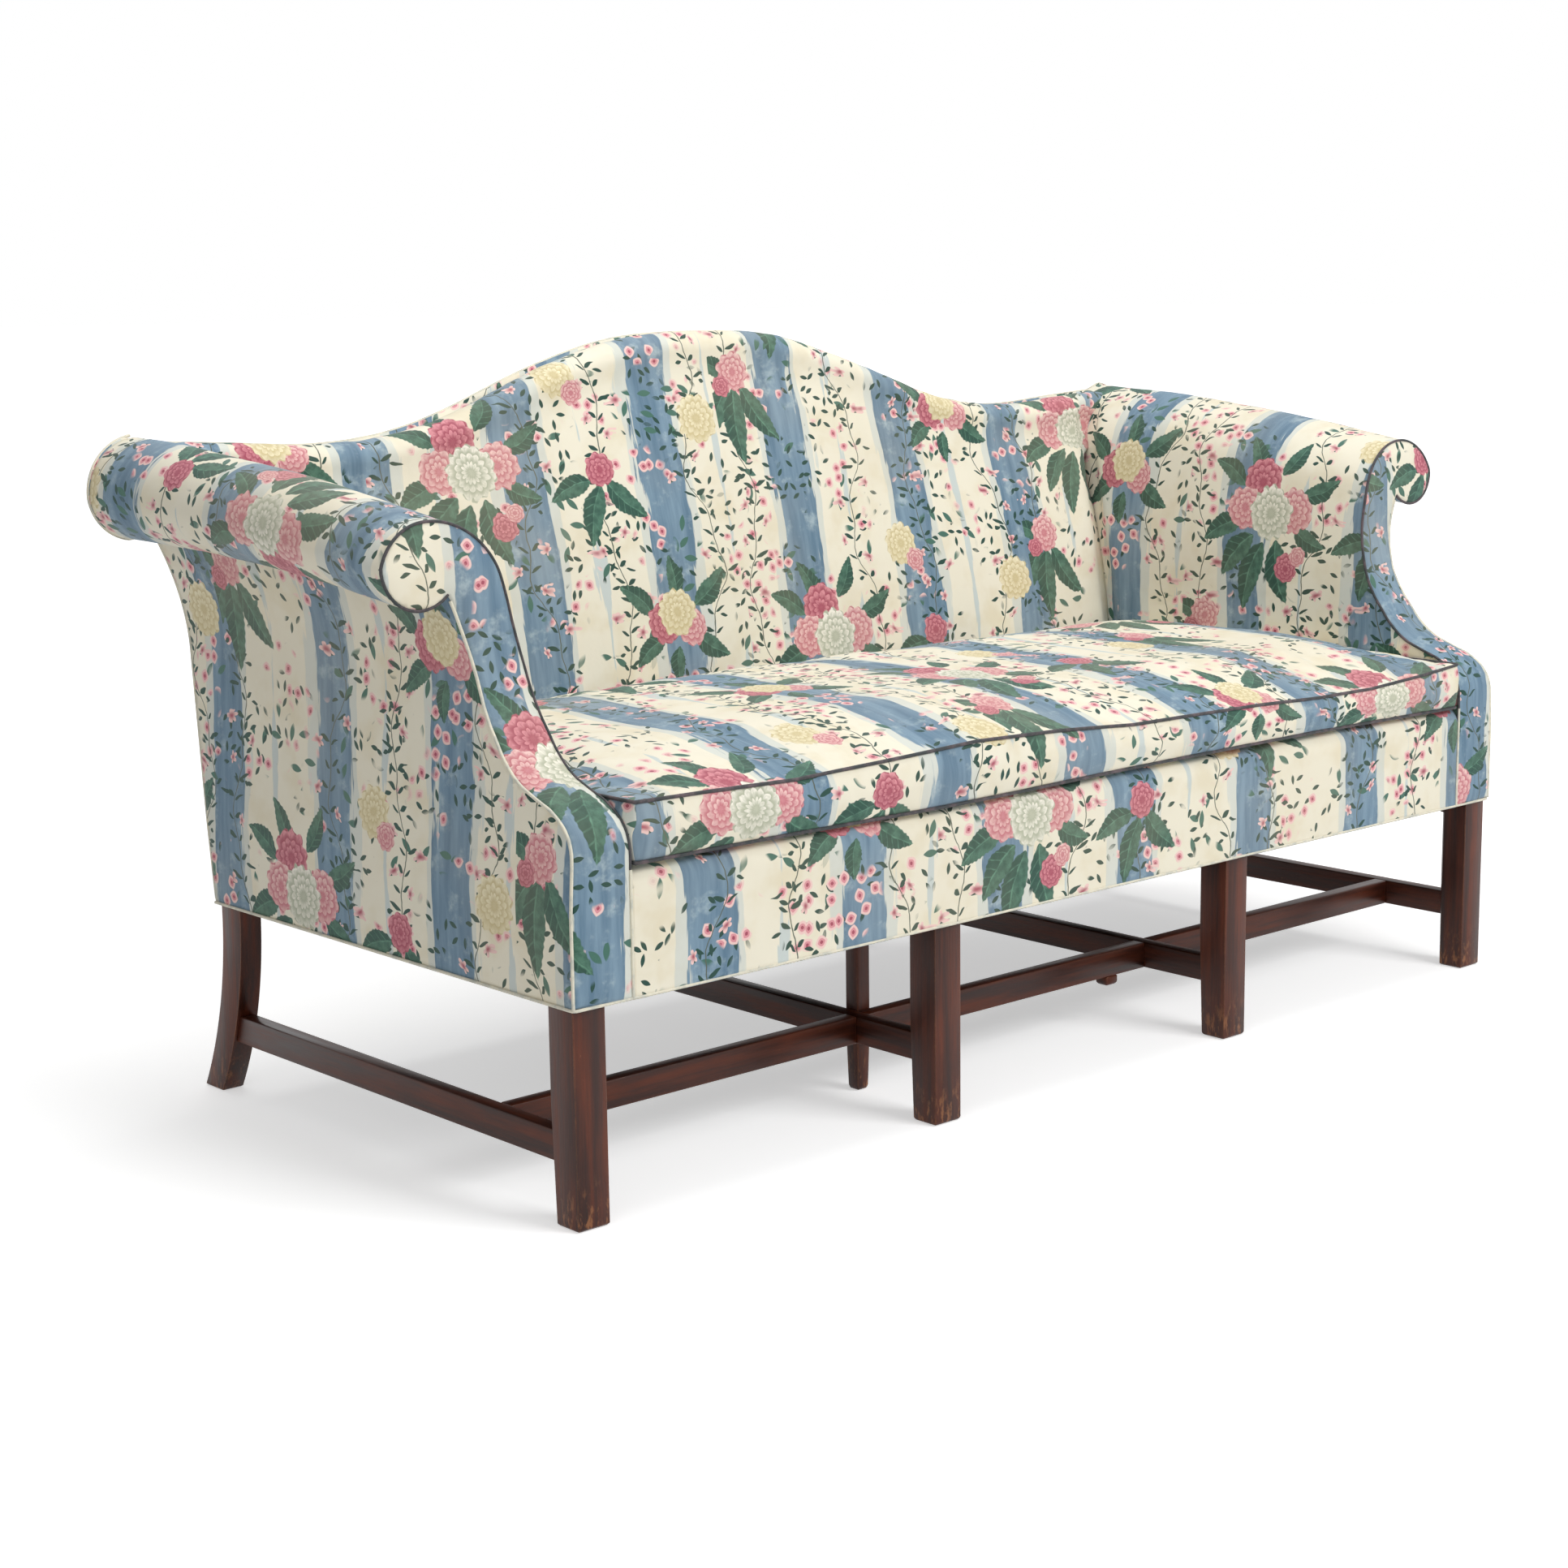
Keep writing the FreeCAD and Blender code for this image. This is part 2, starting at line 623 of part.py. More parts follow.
def round_bar(edges, normal, radius, steps):
    """Round bar along a smooth line of edges, straight between its steps along each edge."""
    rings = []

    def add_ring(edge, share):
        at = edge.FirstParameter + (edge.LastParameter - edge.FirstParameter) * share
        rings.append(round_ring(edge.valueAt(at), edge.tangentAt(at), normal, radius))
    for edge in edges:
        for step in range(steps):
            add_ring(edge, step / steps)
    add_ring(edges[-1], 1.0)
    return Part.makeLoft(rings, True, True)


def make_back(arm):
    """Stuffed inside back with its rolled crest, and the flat cover behind it."""
    high = CREST_TOP + 5
    seat = (inner_face(RAIL_HIGH), RAIL_HIGH)
    deck = (inner_face(DECK_TOP), DECK_TOP)
    rear = COVER + ROLL_PROUD
    near = COVER + 2 * CREST_RADIUS - ROLL_PROUD
    neck = (rear_face(880) - near, 880)
    lean = [seat, deck, sweep_arc(deck, 76, neck), (rear_face(high) - near, high),
            (rear_face(high) - rear, high), (rear_face(RAIL_HIGH) - rear, RAIL_HIGH)]
    outline = slab_y([(-930, HEM)] + whole_crest(CREST_RADIUS + ROLL_LAP) + [(930, HEM)], 500, 1100)
    back = slab_x(lean, -930, 930).common(outline)

    def on_back(point):
        return V(point[0], rear_face(point[1]) - COVER - CREST_RADIUS - ROLL_GAP, point[1])
    normal = V(0, -1, REAR_SLOPE)
    normal.normalize()
    crest_line = path_edges(whole_crest(CREST_RADIUS), on_back)
    back = back.fuse(round_bar(crest_line, normal, CREST_RADIUS, ROLL_STEPS))
    back = back.cut(arm).cut(mirrored(arm))
    for name in ("crest_rail", "back_uprights", "back_lower_rails", "back_webbing", "back_post_left",
                 "back_post_right"):
        back = back.cut(PARTS[name])
    hollow = raked(RAIL_HIGH, 1016, 36, COVER, -862, 862)
    below = slab_y([(-1100, 0)] + whole_crest(112) + [(1100, 0)], 600, 1000)
    back = back.cut(hollow.common(below))
    keep("inside_back", largest(back))
    sheet = slab_x([(rear_face(HEM) - COVER, HEM), (rear_face(HEM), HEM), (rear_face(high), high),
                    (rear_face(high) - COVER, high)], -1100, 1100)
    area = slab_y([(-905, HEM), (-905, 700)] + whole_crest(3) + [(905, 700), (905, HEM)], 700, 1000)
    end = slab_y(arm_section(1.0), 700, 1000)
    keep("outside_back_cover", sheet.common(area.fuse(end).fuse(mirrored(end))).removeSplitter())


def cushion_section(x, crown, edge, pull):
    """Depth and height outline of the cushion at one place along it."""
    base = DECK_TOP + 0.5
    front = CUSHION_FRONT + pull
    rear = CUSHION_BACK - pull
    low_front = (front + 6, base)
    top_front = (front + 5, base + edge)
    top_rear = (rear - 5, base + edge)
    low_rear = (rear - 6, base)
    path = [low_front, ((front, base + edge / 2), top_front, "arc"),
            (((front + rear) / 2, base + edge + crown), top_rear, "arc"),
            ((rear, base + edge / 2), low_rear, "arc")]
    return closed_face(path, lambda p: on_yz(p, x)).OuterWire


def make_cushion():
    half = CUSHION_HALF
    stations = [(-half, 5.0, 0.80, 3.0), (-0.86 * half, 24.0, 0.97, 0.0), (-0.45 * half, 30.0, 1.0, 3.0),
                (0.0, CUSHION_CROWN, 1.0, 4.0), (0.45 * half, 30.0, 1.0, 3.0),
                (0.86 * half, 24.0, 0.97, 0.0), (half, 5.0, 0.80, 3.0)]
    wires = [cushion_section(x, crown, CUSHION_EDGE * share, pull) for x, crown, share, pull in stations]
    keep("seat_cushion", Part.makeLoft(wires, True, True))


def make_dust_cover():
    reach = HALF_SPAN - 4
    sheet = box(-reach, reach, RAIL_SETBACK, REAR_HEM - COVER, RAIL_LOW - 4.5, RAIL_LOW - 3)
    for name in list(PARTS):
        if "leg" in name:
            sheet = sheet.cut(PARTS[name])
    keep("dust_cover", largest(sheet))


def write_parts():
    os.makedirs("parts", exist_ok=True)
    total = Part.makeCompound(list(PARTS.values())).BoundBox
    print("box", round(total.XLength), round(total.YLength), round(total.ZLength),
          "depth", round(total.YMin, 2), round(total.YMax, 2))
    for name, shape in PARTS.items():
        shape = shape.copy()
        shape.translate(V(0, -DEPTH_CENTRE, 0))
        shape.exportStep("parts/%s.step" % name)
        print(name, shape.isValid(), len(shape.Solids), round(shape.Volume / 1000.0, 1))


make_legs()
make_stretchers()
make_seat_frame()
make_arm_frame()
make_back_frame()
make_webbing()
make_seat_inside()
RIGHT_ARM = make_arms()
make_back(RIGHT_ARM)
make_cushion()
make_dust_cover()
write_parts()
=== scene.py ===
"""Dressed camelback sofa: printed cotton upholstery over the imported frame, mahogany legs and a stage.

Sizes inside the classes are in millimetres in plan coordinates: X from the middle of the sofa,
depth from the front face of the front legs, Z from the floor. Form.place turns them into metres
in the frame of the part.
"""

import logging
import math
from dataclasses import dataclass, field
from enum import Enum
from typing import Optional, Sequence

import bmesh
import bpy
import numpy as np
from mathutils import Matrix, Vector, noise
from mathutils.geometry import delaunay_2d_cdt


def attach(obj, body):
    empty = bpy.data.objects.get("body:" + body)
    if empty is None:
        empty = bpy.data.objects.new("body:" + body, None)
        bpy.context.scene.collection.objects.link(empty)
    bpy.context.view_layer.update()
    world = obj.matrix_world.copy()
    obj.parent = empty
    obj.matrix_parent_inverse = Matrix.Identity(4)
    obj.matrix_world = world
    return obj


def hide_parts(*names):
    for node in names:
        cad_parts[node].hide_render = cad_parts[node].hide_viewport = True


logging.basicConfig(level=logging.INFO, format="%(message)s")
LOG = logging.getLogger("sofa")

METRE = 1000.0

Socket = bpy.types.NodeSocket
Colour = tuple[float, float, float, float]


class Side(Enum):
    """End of the sofa, as the sign of its X."""

    LEFT = -1
    RIGHT = 1


class Grain(Enum):
    """Direction that the grain of a wooden piece runs in, as a stretch of the texture."""

    UPRIGHT = (1.0, 1.0, 0.06)
    LENGTHWAYS = (0.06, 1.0, 1.0)
    DEPTHWAYS = (1.0, 0.06, 1.0)


class Body(Enum):
    """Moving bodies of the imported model."""

    SOFA = "sofa"
    CUSHION = "cushion"


def srgb(red: int, green: int, blue: int) -> Colour:
    """Turn an 8-bit colour into the linear one that shaders take.

    Args:
        red: Red, 0 to 255.
        green: Green, 0 to 255.
        blue: Blue, 0 to 255.

    Returns:
        Linear colour with alpha 1.
    """
    def linear(value: int) -> float:
        share = value / 255.0
        return share / 12.92 if share <= 0.04045 else ((share + 0.055) / 1.055) ** 2.4
    return (linear(red), linear(green), linear(blue), 1.0)


def arc_points(start: np.ndarray, heading: float, end: np.ndarray, share: np.ndarray) -> np.ndarray:
    """Points on arcs that leave their starts on one heading and finish at their ends.

    Args:
        start: Start points, last axis of two.
        heading: Heading at the start in degrees.
        end: End points, last axis of two.
        share: Share of each arc, 0 to 1.

    Returns:
        The points, with the shape of start.
    """
    chord_x = end[..., 0] - start[..., 0]
    chord_z = end[..., 1] - start[..., 1]
    length = np.hypot(chord_x, chord_z)
    chord = np.arctan2(chord_z, chord_x)
    first = math.radians(heading)
    turn = 2 * ((chord - first + math.pi) % (2 * math.pi) - math.pi)
    turn = np.where(np.abs(turn) < 1e-5, 1e-5, turn)
    radius = length / (2 * np.sin(turn / 2))
    angle = first + turn * share
    x = start[..., 0] + radius * (np.sin(angle) - math.sin(first))
    z = start[..., 1] + radius * (math.cos(first) - np.cos(angle))
    return np.stack([x, z], axis=-1)


def ripple(points: np.ndarray, size: float, seed: float) -> np.ndarray:
    """Smooth random field sampled at points.

    Args:
        points: Points in millimetres, shape (n, 3).
        size: Size of a feature in millimetres.
        seed: Offset that picks another field.

    Returns:
        Values from about -1 to 1, shape (n,).
    """
    shift = Vector((seed * 17.3, seed * 5.1, seed * 9.7))
    return np.array([noise.noise(Vector(p) / size + shift) for p in points])


@dataclass
class Form:
    """Lines and surfaces of the sofa that several pieces share."""

    depth_centre: float = 433.3
    half_span: float = 908.5
    hem: float = 268.0
    deck_top: float = 425.0
    pad_front: float = -6.0
    inner_arm: float = 824.0
    rear_hem: float = 790.0
    rear_slope: float = 0.119
    seat_back: float = 699.0
    crest_top: float = 1016.0
    crest_radius: float = 30.0
    scroll_depth: float = 205.0
    arm_run: float = 697.0
    facing_line: Sequence[tuple[float, float]] = (
        (-6, 248), (-6, 440), (-5, 455), (0, 469), (9, 481), (22, 491), (38, 500), (62, 508), (91, 519),
        (106, 528), (118, 538), (131, 551), (142, 566), (156, 584), (168, 604), (176, 622), (182, 642),
        (187, 661), (191, 680), (193.5, 700), (194.5, 730), (196, 765), (200, 800), (206, 840), (212, 905))

    def place(self, points: np.ndarray) -> np.ndarray:
        """Plan coordinates in millimetres to metres in the frame of the part."""
        moved = np.array(points, dtype=float)
        moved[..., 1] -= self.depth_centre
        return moved / METRE

    def rear(self, height: np.ndarray) -> np.ndarray:
        """Depth of the rear face of the back at a height."""
        return self.rear_hem + (height - self.hem) * self.rear_slope

    def front(self, height: np.ndarray) -> np.ndarray:
        """Depth of the front edge of an arm at a height."""
        line = np.array(self.facing_line, dtype=float)
        return np.interp(height, line[:, 1], line[:, 0])

    def along(self, depth: np.ndarray) -> np.ndarray:
        """Share of the way from the scroll to the rear end of an arm."""
        return np.clip((depth - self.scroll_depth) / self.arm_run, 0.0, 1.0)

    def arm_keys(self, along: np.ndarray) -> dict[str, np.ndarray]:
        """Corner points of the arm's outline at shares of its run.

        Args:
            along: Shares from 0 at the scroll to 1 at the rear end.

        Returns:
            Named corner points, each with a last axis of X and Z.
        """
        swell = 12.0 * 4 * along * (1 - along)

        def mix(front: tuple[float, float], rear: tuple[float, float], lift: float = 0.0) -> np.ndarray:
            x = front[0] + (rear[0] - front[0]) * along
            z = front[1] + (rear[1] - front[1]) * along + lift * swell
            return np.stack([x, z], axis=-1)
        return {
            "foot": mix((self.inner_arm, self.hem), (self.inner_arm, self.hem)),
            "spring": mix((self.inner_arm, 570), (self.inner_arm, 600)),
            "shoulder": mix((848, 750), (850, 806), 1),
            "top": mix((952, 824), (955, 902), 1),
            "outermost": mix((1017, 773), (1031, 826), 1),
            "under": mix((966, 722), (978, 766), 1),
            "notch": mix((926, 738), (950, 782), 1),
            "flare": mix((897, 620), (907, 620)),
        }

    def arm_wrap(self, step: np.ndarray, along: np.ndarray) -> np.ndarray:
        """Point on the skin that climbs the inner face and rolls over to the notch under the scroll.

        Args:
            step: Place along the outline, 0 at the hem to 6 at the notch.
            along: Share of the arm's run, same shape.

        Returns:
            X and Z on the last axis.
        """
        keys = self.arm_keys(along)
        part = np.clip(np.floor(step), 0, 5).astype(int)
        share = step - part
        straight = keys["foot"] + (keys["spring"] - keys["foot"]) * share[..., None]
        choices = [
            straight,
            arc_points(keys["spring"], 90, keys["shoulder"], share),
            arc_points(keys["shoulder"], 75, keys["top"], share),
            arc_points(keys["top"], -4, keys["outermost"], share),
            arc_points(keys["outermost"], -90, keys["under"], share),
            arc_points(keys["under"], 180, keys["notch"], share),
        ]
        stacked = np.stack(choices)
        return np.take_along_axis(stacked, part[None, ..., None], axis=0)[0]

    def arm_outside(self, height: np.ndarray, depth: np.ndarray) -> np.ndarray:
        """X of the outside of an arm below its roll, at heights and depths."""
        along = self.along(depth)
        keys = self.arm_keys(along)
        flare, notch = keys["flare"], keys["notch"]
        low = 911.0 + (flare[..., 0] - 911.0) * np.clip((height - 382) / (flare[..., 1] - 382), 0, 1)
        rise = np.clip((height - flare[..., 1]) / (notch[..., 1] - flare[..., 1]), 0, 1.2)
        return low + (notch[..., 0] - flare[..., 0]) * rise ** 1.9

    def arm_inside(self, height: np.ndarray, along: np.ndarray) -> np.ndarray:
        """X of the inner face of an arm at heights, up to the top of its roll."""
        keys = self.arm_keys(along)
        spring, shoulder = keys["spring"], keys["shoulder"]
        rise = np.clip((height - spring[..., 1]) / (shoulder[..., 1] - spring[..., 1]), 0, 1)
        return spring[..., 0] + (shoulder[..., 0] - spring[..., 0]) * rise ** 2

    def crest(self, across: np.ndarray) -> np.ndarray:
        """Height of the serpentine crest at distances from the middle."""
        marks = np.array([0, 45, 90, 130, 180, 230, 285, 340, 400, 450, 510, 570, 630, 690, 745, 800, 865,
                          930, 1000], dtype=float)
        falls = np.array([0, 0.6, 2.5, 6.0, 14.5, 26.5, 42, 60, 82, 100, 118, 130.5, 137, 139, 136.5, 132,
                          127.5, 124, 121], dtype=float)
        fine = np.linspace(0, 1000, 401)
        smooth = np.interp(fine, marks, falls)
        kernel = np.hanning(23)
        kernel /= kernel.sum()
        padded = np.concatenate([smooth[11:0:-1], smooth, np.full(11, smooth[-1])])
        return self.crest_top - np.interp(np.abs(across), fine, np.convolve(padded, kernel, "valid"))

    def back_face(self, height: np.ndarray, crest: np.ndarray) -> np.ndarray:
        """Depth of the face of the inside back below its roll."""
        neck_height = crest - 2.0 * self.crest_radius
        neck = self.rear(neck_height) - 4.0 - 2 * self.crest_radius
        share = np.clip((height - self.deck_top) / (neck_height - self.deck_top), 0, 1.2)
        belly = 14.0 * np.sin(np.pi * np.clip(share, 0, 1)) ** 1.2
        return self.seat_back + (neck - self.seat_back) * share - belly


FORM = Form()


class Graph:
    """Short way to write a shader tree: every method adds a node and returns its output socket."""

    def __init__(self, tree: bpy.types.NodeTree) -> None:
        """Take the tree to write in."""
        self.tree = tree

    def node(self, kind: str, **settings: object) -> bpy.types.Node:
        """Add a node and set its properties."""
        made = self.tree.nodes.new(kind)
        for name, value in settings.items():
            setattr(made, name, value)
        return made

    def feed(self, socket: Socket, value: object) -> None:
        """Link a socket, or set its default value."""
        if value is None:
            return
        if isinstance(value, bpy.types.NodeSocket):
            self.tree.links.new(value, socket)
        else:
            socket.default_value = value

    def math(self, kind: str, first: object, second: object = None, third: object = None) -> Socket:
        """Math node."""
        made = self.node("ShaderNodeMath", operation=kind)
        for socket, value in zip(made.inputs, (first, second, third)):
            self.feed(socket, value)
        return made.outputs[0]

    def vector(self, kind: str, first: object, second: object = None, scale: object = None) -> Socket:
        """Vector math node; its vector output, or the value of LENGTH and DOT_PRODUCT."""
        made = self.node("ShaderNodeVectorMath", operation=kind)
        self.feed(made.inputs[0], first)
        self.feed(made.inputs[1], second)
        self.feed(made.inputs[3], scale)
        return made.outputs["Value" if kind in ("LENGTH", "DOT_PRODUCT") else "Vector"]

    def combine(self, x: object, y: object, z: object = 0.0) -> Socket:
        """Vector from three values."""
        made = self.node("ShaderNodeCombineXYZ")
        for socket, value in zip(made.inputs, (x, y, z)):
            self.feed(socket, value)
        return made.outputs[0]

    def split(self, vector: Socket) -> tuple[Socket, Socket, Socket]:
        """Three values of a vector."""
        made = self.node("ShaderNodeSeparateXYZ")
        self.feed(made.inputs[0], vector)
        return made.outputs[0], made.outputs[1], made.outputs[2]

    def blend(self, share: object, first: object, second: object, kind: str = "MIX") -> Socket:
        """Mix of two colours."""
        made = self.node("ShaderNodeMix", data_type="RGBA", blend_type=kind)
        self.feed(made.inputs[0], share)
        self.feed(made.inputs[6], first)
        self.feed(made.inputs[7], second)
        return made.outputs[2]

    def step(self, value: object, low: object, high: object, start: object = 0.0, end: object = 1.0
             ) -> Socket:
        """Smooth step of a value from low to high."""
        made = self.node("ShaderNodeMapRange", interpolation_type="SMOOTHSTEP", clamp=False)
        for socket, item in zip(made.inputs, (value, low, high, start, end)):
            self.feed(socket, item)
        return made.outputs[0]

    def noise(self, vector: object, scale: float, detail: float = 2.0, rough: float = 0.5) -> Socket:
        """Noise value of a vector."""
        made = self.node("ShaderNodeTexNoise", noise_dimensions="3D")
        self.feed(made.inputs["Vector"], vector)
        made.inputs["Scale"].default_value = scale
        made.inputs["Detail"].default_value = detail
        made.inputs["Roughness"].default_value = rough
        return made.outputs["Fac"]


def new_group(name: str, inputs: dict[str, str], outputs: dict[str, str]
              ) -> tuple[bpy.types.NodeTree, Graph, dict[str, Socket], bpy.types.Node]:
    """Start a shader group.

    Args:
        name: Name of the group.
        inputs: Names and short kinds (Float, Vector or Color) of its inputs.
        outputs: The same for its outputs.

    Returns:
        The group, a graph on it, its inputs by name and its output node.
    """
    tree = bpy.data.node_groups.new(name, "ShaderNodeTree")
    for label, kind in inputs.items():
        tree.interface.new_socket(name=label, in_out="INPUT", socket_type="NodeSocket" + kind)
    for label, kind in outputs.items():
        tree.interface.new_socket(name=label, in_out="OUTPUT", socket_type="NodeSocket" + kind)
    source = tree.nodes.new("NodeGroupInput")
    sink = tree.nodes.new("NodeGroupOutput")
    return tree, Graph(tree), {label: source.outputs[label] for label in inputs}, sink


@dataclass(frozen=True)
class Leaf:
    """Printed leaf: its base in the repeat, direction in degrees, length and width in metres."""

    u: float
    v: float
    turn: float
    length: float
    width: float


@dataclass(frozen=True)
class Bloom:
    """Printed flower: its middle in the repeat, radius in metres, petals and its two colours."""

    u: float
    v: float
    radius: float
    petals: float
    dark: Colour
    light: Colour


ROSE = (srgb(164, 72, 92), srgb(218, 146, 154))
BLUSH = (srgb(198, 116, 126), srgb(238, 202, 196))
IVORY = (srgb(178, 182, 158), srgb(245, 241, 228))
BUTTER = (srgb(206, 190, 142), srgb(240, 231, 200))


@dataclass(frozen=True)
class FloralPrint:
    """Own printed design: painterly blue stripes on cream, with posies, vines and sprigs."""

    width: float = 0.64
    height: float = 0.60
    stripe_pitch: float = 0.256
    stripe_half: float = 0.040
    cream: Colour = srgb(236, 230, 210)
    cream_shade: Colour = srgb(222, 210, 178)
    blue: Colour = srgb(124, 151, 170)
    blue_deep: Colour = srgb(88, 118, 140)
    blue_pale: Colour = srgb(182, 199, 204)
    bloom_scale: float = 1.18
    leaf_dark: Colour = srgb(22, 64, 54)
    leaf_mid: Colour = srgb(62, 106, 92)
    leaf_light: Colour = srgb(98, 146, 122)
    stem: Colour = srgb(84, 92, 78)
    leaves: Sequence[Leaf] = (
        Leaf(0.150, 0.395, 118, 0.085, 0.017), Leaf(0.118, 0.385, 152, 0.080, 0.018),
        Leaf(0.118, 0.330, 205, 0.085, 0.020), Leaf(0.190, 0.405, 62, 0.075, 0.017),
        Leaf(0.232, 0.372, 28, 0.082, 0.017), Leaf(0.225, 0.325, -22, 0.070, 0.018),
        Leaf(0.165, 0.300, 252, 0.120, 0.024), Leaf(0.190, 0.305, 286, 0.105, 0.024),
        Leaf(0.145, 0.310, 228, 0.095, 0.022),
        Leaf(0.455, 0.110, 140, 0.078, 0.018), Leaf(0.470, 0.075, 215, 0.070, 0.017),
        Leaf(0.535, 0.120, 40, 0.085, 0.019), Leaf(0.530, 0.078, -30, 0.078, 0.018),
        Leaf(0.498, 0.060, 265, 0.055, 0.015), Leaf(0.500, 0.130, 95, 0.070, 0.017),
        Leaf(0.035, 0.150, 236, 0.105, 0.021), Leaf(0.045, 0.148, 268, 0.125, 0.024),
        Leaf(0.058, 0.150, 305, 0.110, 0.022), Leaf(0.040, 0.165, 160, 0.070, 0.017),
        Leaf(0.380, 0.320, 200, 0.085, 0.018), Leaf(0.395, 0.312, 250, 0.100, 0.021),
        Leaf(0.405, 0.318, 318, 0.090, 0.020))
    blooms: Sequence[Bloom] = (
        Bloom(0.214, 0.262, 0.020, 9, *ROSE), Bloom(0.236, 0.282, 0.014, 7, *BLUSH),
        Bloom(0.152, 0.392, 0.034, 11, *ROSE), Bloom(0.122, 0.350, 0.030, 10, *BLUSH),
        Bloom(0.222, 0.352, 0.032, 12, *BLUSH), Bloom(0.176, 0.345, 0.037, 14, *IVORY),
        Bloom(0.474, 0.098, 0.028, 11, *ROSE), Bloom(0.526, 0.088, 0.025, 9, *BLUSH),
        Bloom(0.500, 0.112, 0.031, 13, *BUTTER),
        Bloom(0.345, 0.480, 0.030, 12, *BUTTER), Bloom(0.372, 0.452, 0.017, 8, *BLUSH),
        Bloom(0.048, 0.172, 0.027, 10, *BLUSH), Bloom(0.020, 0.150, 0.015, 7, *ROSE),
        Bloom(0.398, 0.335, 0.023, 9, *ROSE), Bloom(0.598, 0.402, 0.033, 13, *BUTTER))

    def leaf_group(self) -> bpy.types.NodeTree:
        """Group that gives the mask and tone of one printed leaf."""
        tree, g, given, sink = new_group(
            "printed_leaf", {"Point": "Vector", "Base": "Vector", "Along": "Vector", "Across": "Vector",
                             "Grain": "Float"}, {"Mask": "Float", "Tone": "Float"})
        off = g.vector("SUBTRACT", given["Point"], given["Base"])
        x = g.vector("DOT_PRODUCT", off, given["Along"])
        y = g.vector("DOT_PRODUCT", off, given["Across"])
        bow = g.math("MULTIPLY", g.math("SINE", g.math("MULTIPLY", x, 3.1416)), 0.35)
        y = g.math("ADD", y, bow)
        aside = g.math("ABSOLUTE", y)
        hump = g.math("MAXIMUM", g.math("MULTIPLY", g.math("MULTIPLY", x, g.math("SUBTRACT", 1.0, x)), 4.0),
                      0.0)
        taper = g.math("SUBTRACT", 1.25, g.math("MULTIPLY", x, 0.6))
        outline = g.math("MULTIPLY", g.math("POWER", hump, 0.85), taper)
        tooth = g.math("MULTIPLY", g.math("SINE", g.math("MULTIPLY", x, 70.0)), 0.03)
        gap = g.math("SUBTRACT", g.math("ADD", outline, tooth), aside)
        mask = g.math("MULTIPLY", g.step(gap, 0.02, 0.10), g.step(hump, 0.0, 0.05))
        rib = g.step(aside, 0.02, 0.10, 1.0, 0.0)
        slant = g.math("SUBTRACT", g.math("MULTIPLY", x, 44.0), g.math("MULTIPLY", aside, 7.0))
        ribs = g.step(g.math("SINE", slant), 0.70, 1.0, 0.0, 0.55)
        half = g.step(y, -0.15, 0.15, 0.12, 0.45)
        tone = g.math("MAXIMUM", g.math("MAXIMUM", g.math("MULTIPLY", rib, 0.8), ribs), half)
        tone = g.math("MULTIPLY", tone, g.step(given["Grain"], 0.3, 0.7, 0.35, 1.15))
        g.feed(sink.inputs["Mask"], mask)
        g.feed(sink.inputs["Tone"], tone)
        return tree

    def bloom_group(self) -> bpy.types.NodeTree:
        """Group that gives the mask and shade of one round, many-petalled flower."""
        tree, g, given, sink = new_group(
            "printed_bloom", {"Point": "Vector", "Centre": "Vector", "Radius": "Float", "Petals": "Float",
                              "Wobble": "Float", "Grain": "Float"}, {"Mask": "Float", "Shade": "Float"})
        off = g.vector("SUBTRACT", given["Point"], given["Centre"])
        near = g.vector("SCALE", off, scale=g.math("DIVIDE", 1.0, given["Radius"]))
        x, y, _ = g.split(near)
        radius = g.math("MULTIPLY", g.vector("LENGTH", near),
                        g.math("ADD", 0.80, g.math("MULTIPLY", given["Wobble"], 0.40)))
        angle = g.math("ARCTAN2", y, x)
        scallop = g.math("ABSOLUTE", g.math("SINE", g.math("MULTIPLY", g.math("MULTIPLY", angle, 0.5),
                                                          given["Petals"])))
        edge = g.math("ADD", 0.90, g.math("MULTIPLY", scallop, 0.10))
        mask = g.step(g.math("SUBTRACT", edge, radius), 0.0, 0.05)
        rings = g.math("MULTIPLY", radius, 3.6)
        turn = g.math("MULTIPLY", g.math("FLOOR", rings), 1.9)
        lobe = g.math("ABSOLUTE", g.math("SINE", g.math("ADD", turn, g.math(
            "MULTIPLY", g.math("MULTIPLY", angle, 0.5), given["Petals"]))))
        ring = g.math("FRACT", g.math("SUBTRACT", rings, g.math("MULTIPLY", lobe, 0.45)))
        shade = g.step(ring, 0.0, 0.85, 0.0, 1.0)
        heart = g.step(radius, 0.05, 0.30, 0.25, 1.0)
        seams = g.step(lobe, 0.0, 0.35, 0.55, 1.0)
        shade = g.math("MULTIPLY", g.math("MULTIPLY", shade, heart), seams)
        light = g.math("ADD", 0.84, g.math("MULTIPLY", y, 0.24))
        grain = g.step(given["Grain"], 0.28, 0.72, 0.62, 1.12)
        shade = g.math("MULTIPLY", g.math("MULTIPLY", shade, light), grain)
        g.feed(sink.inputs["Mask"], mask)
        g.feed(sink.inputs["Shade"], shade)
        return tree

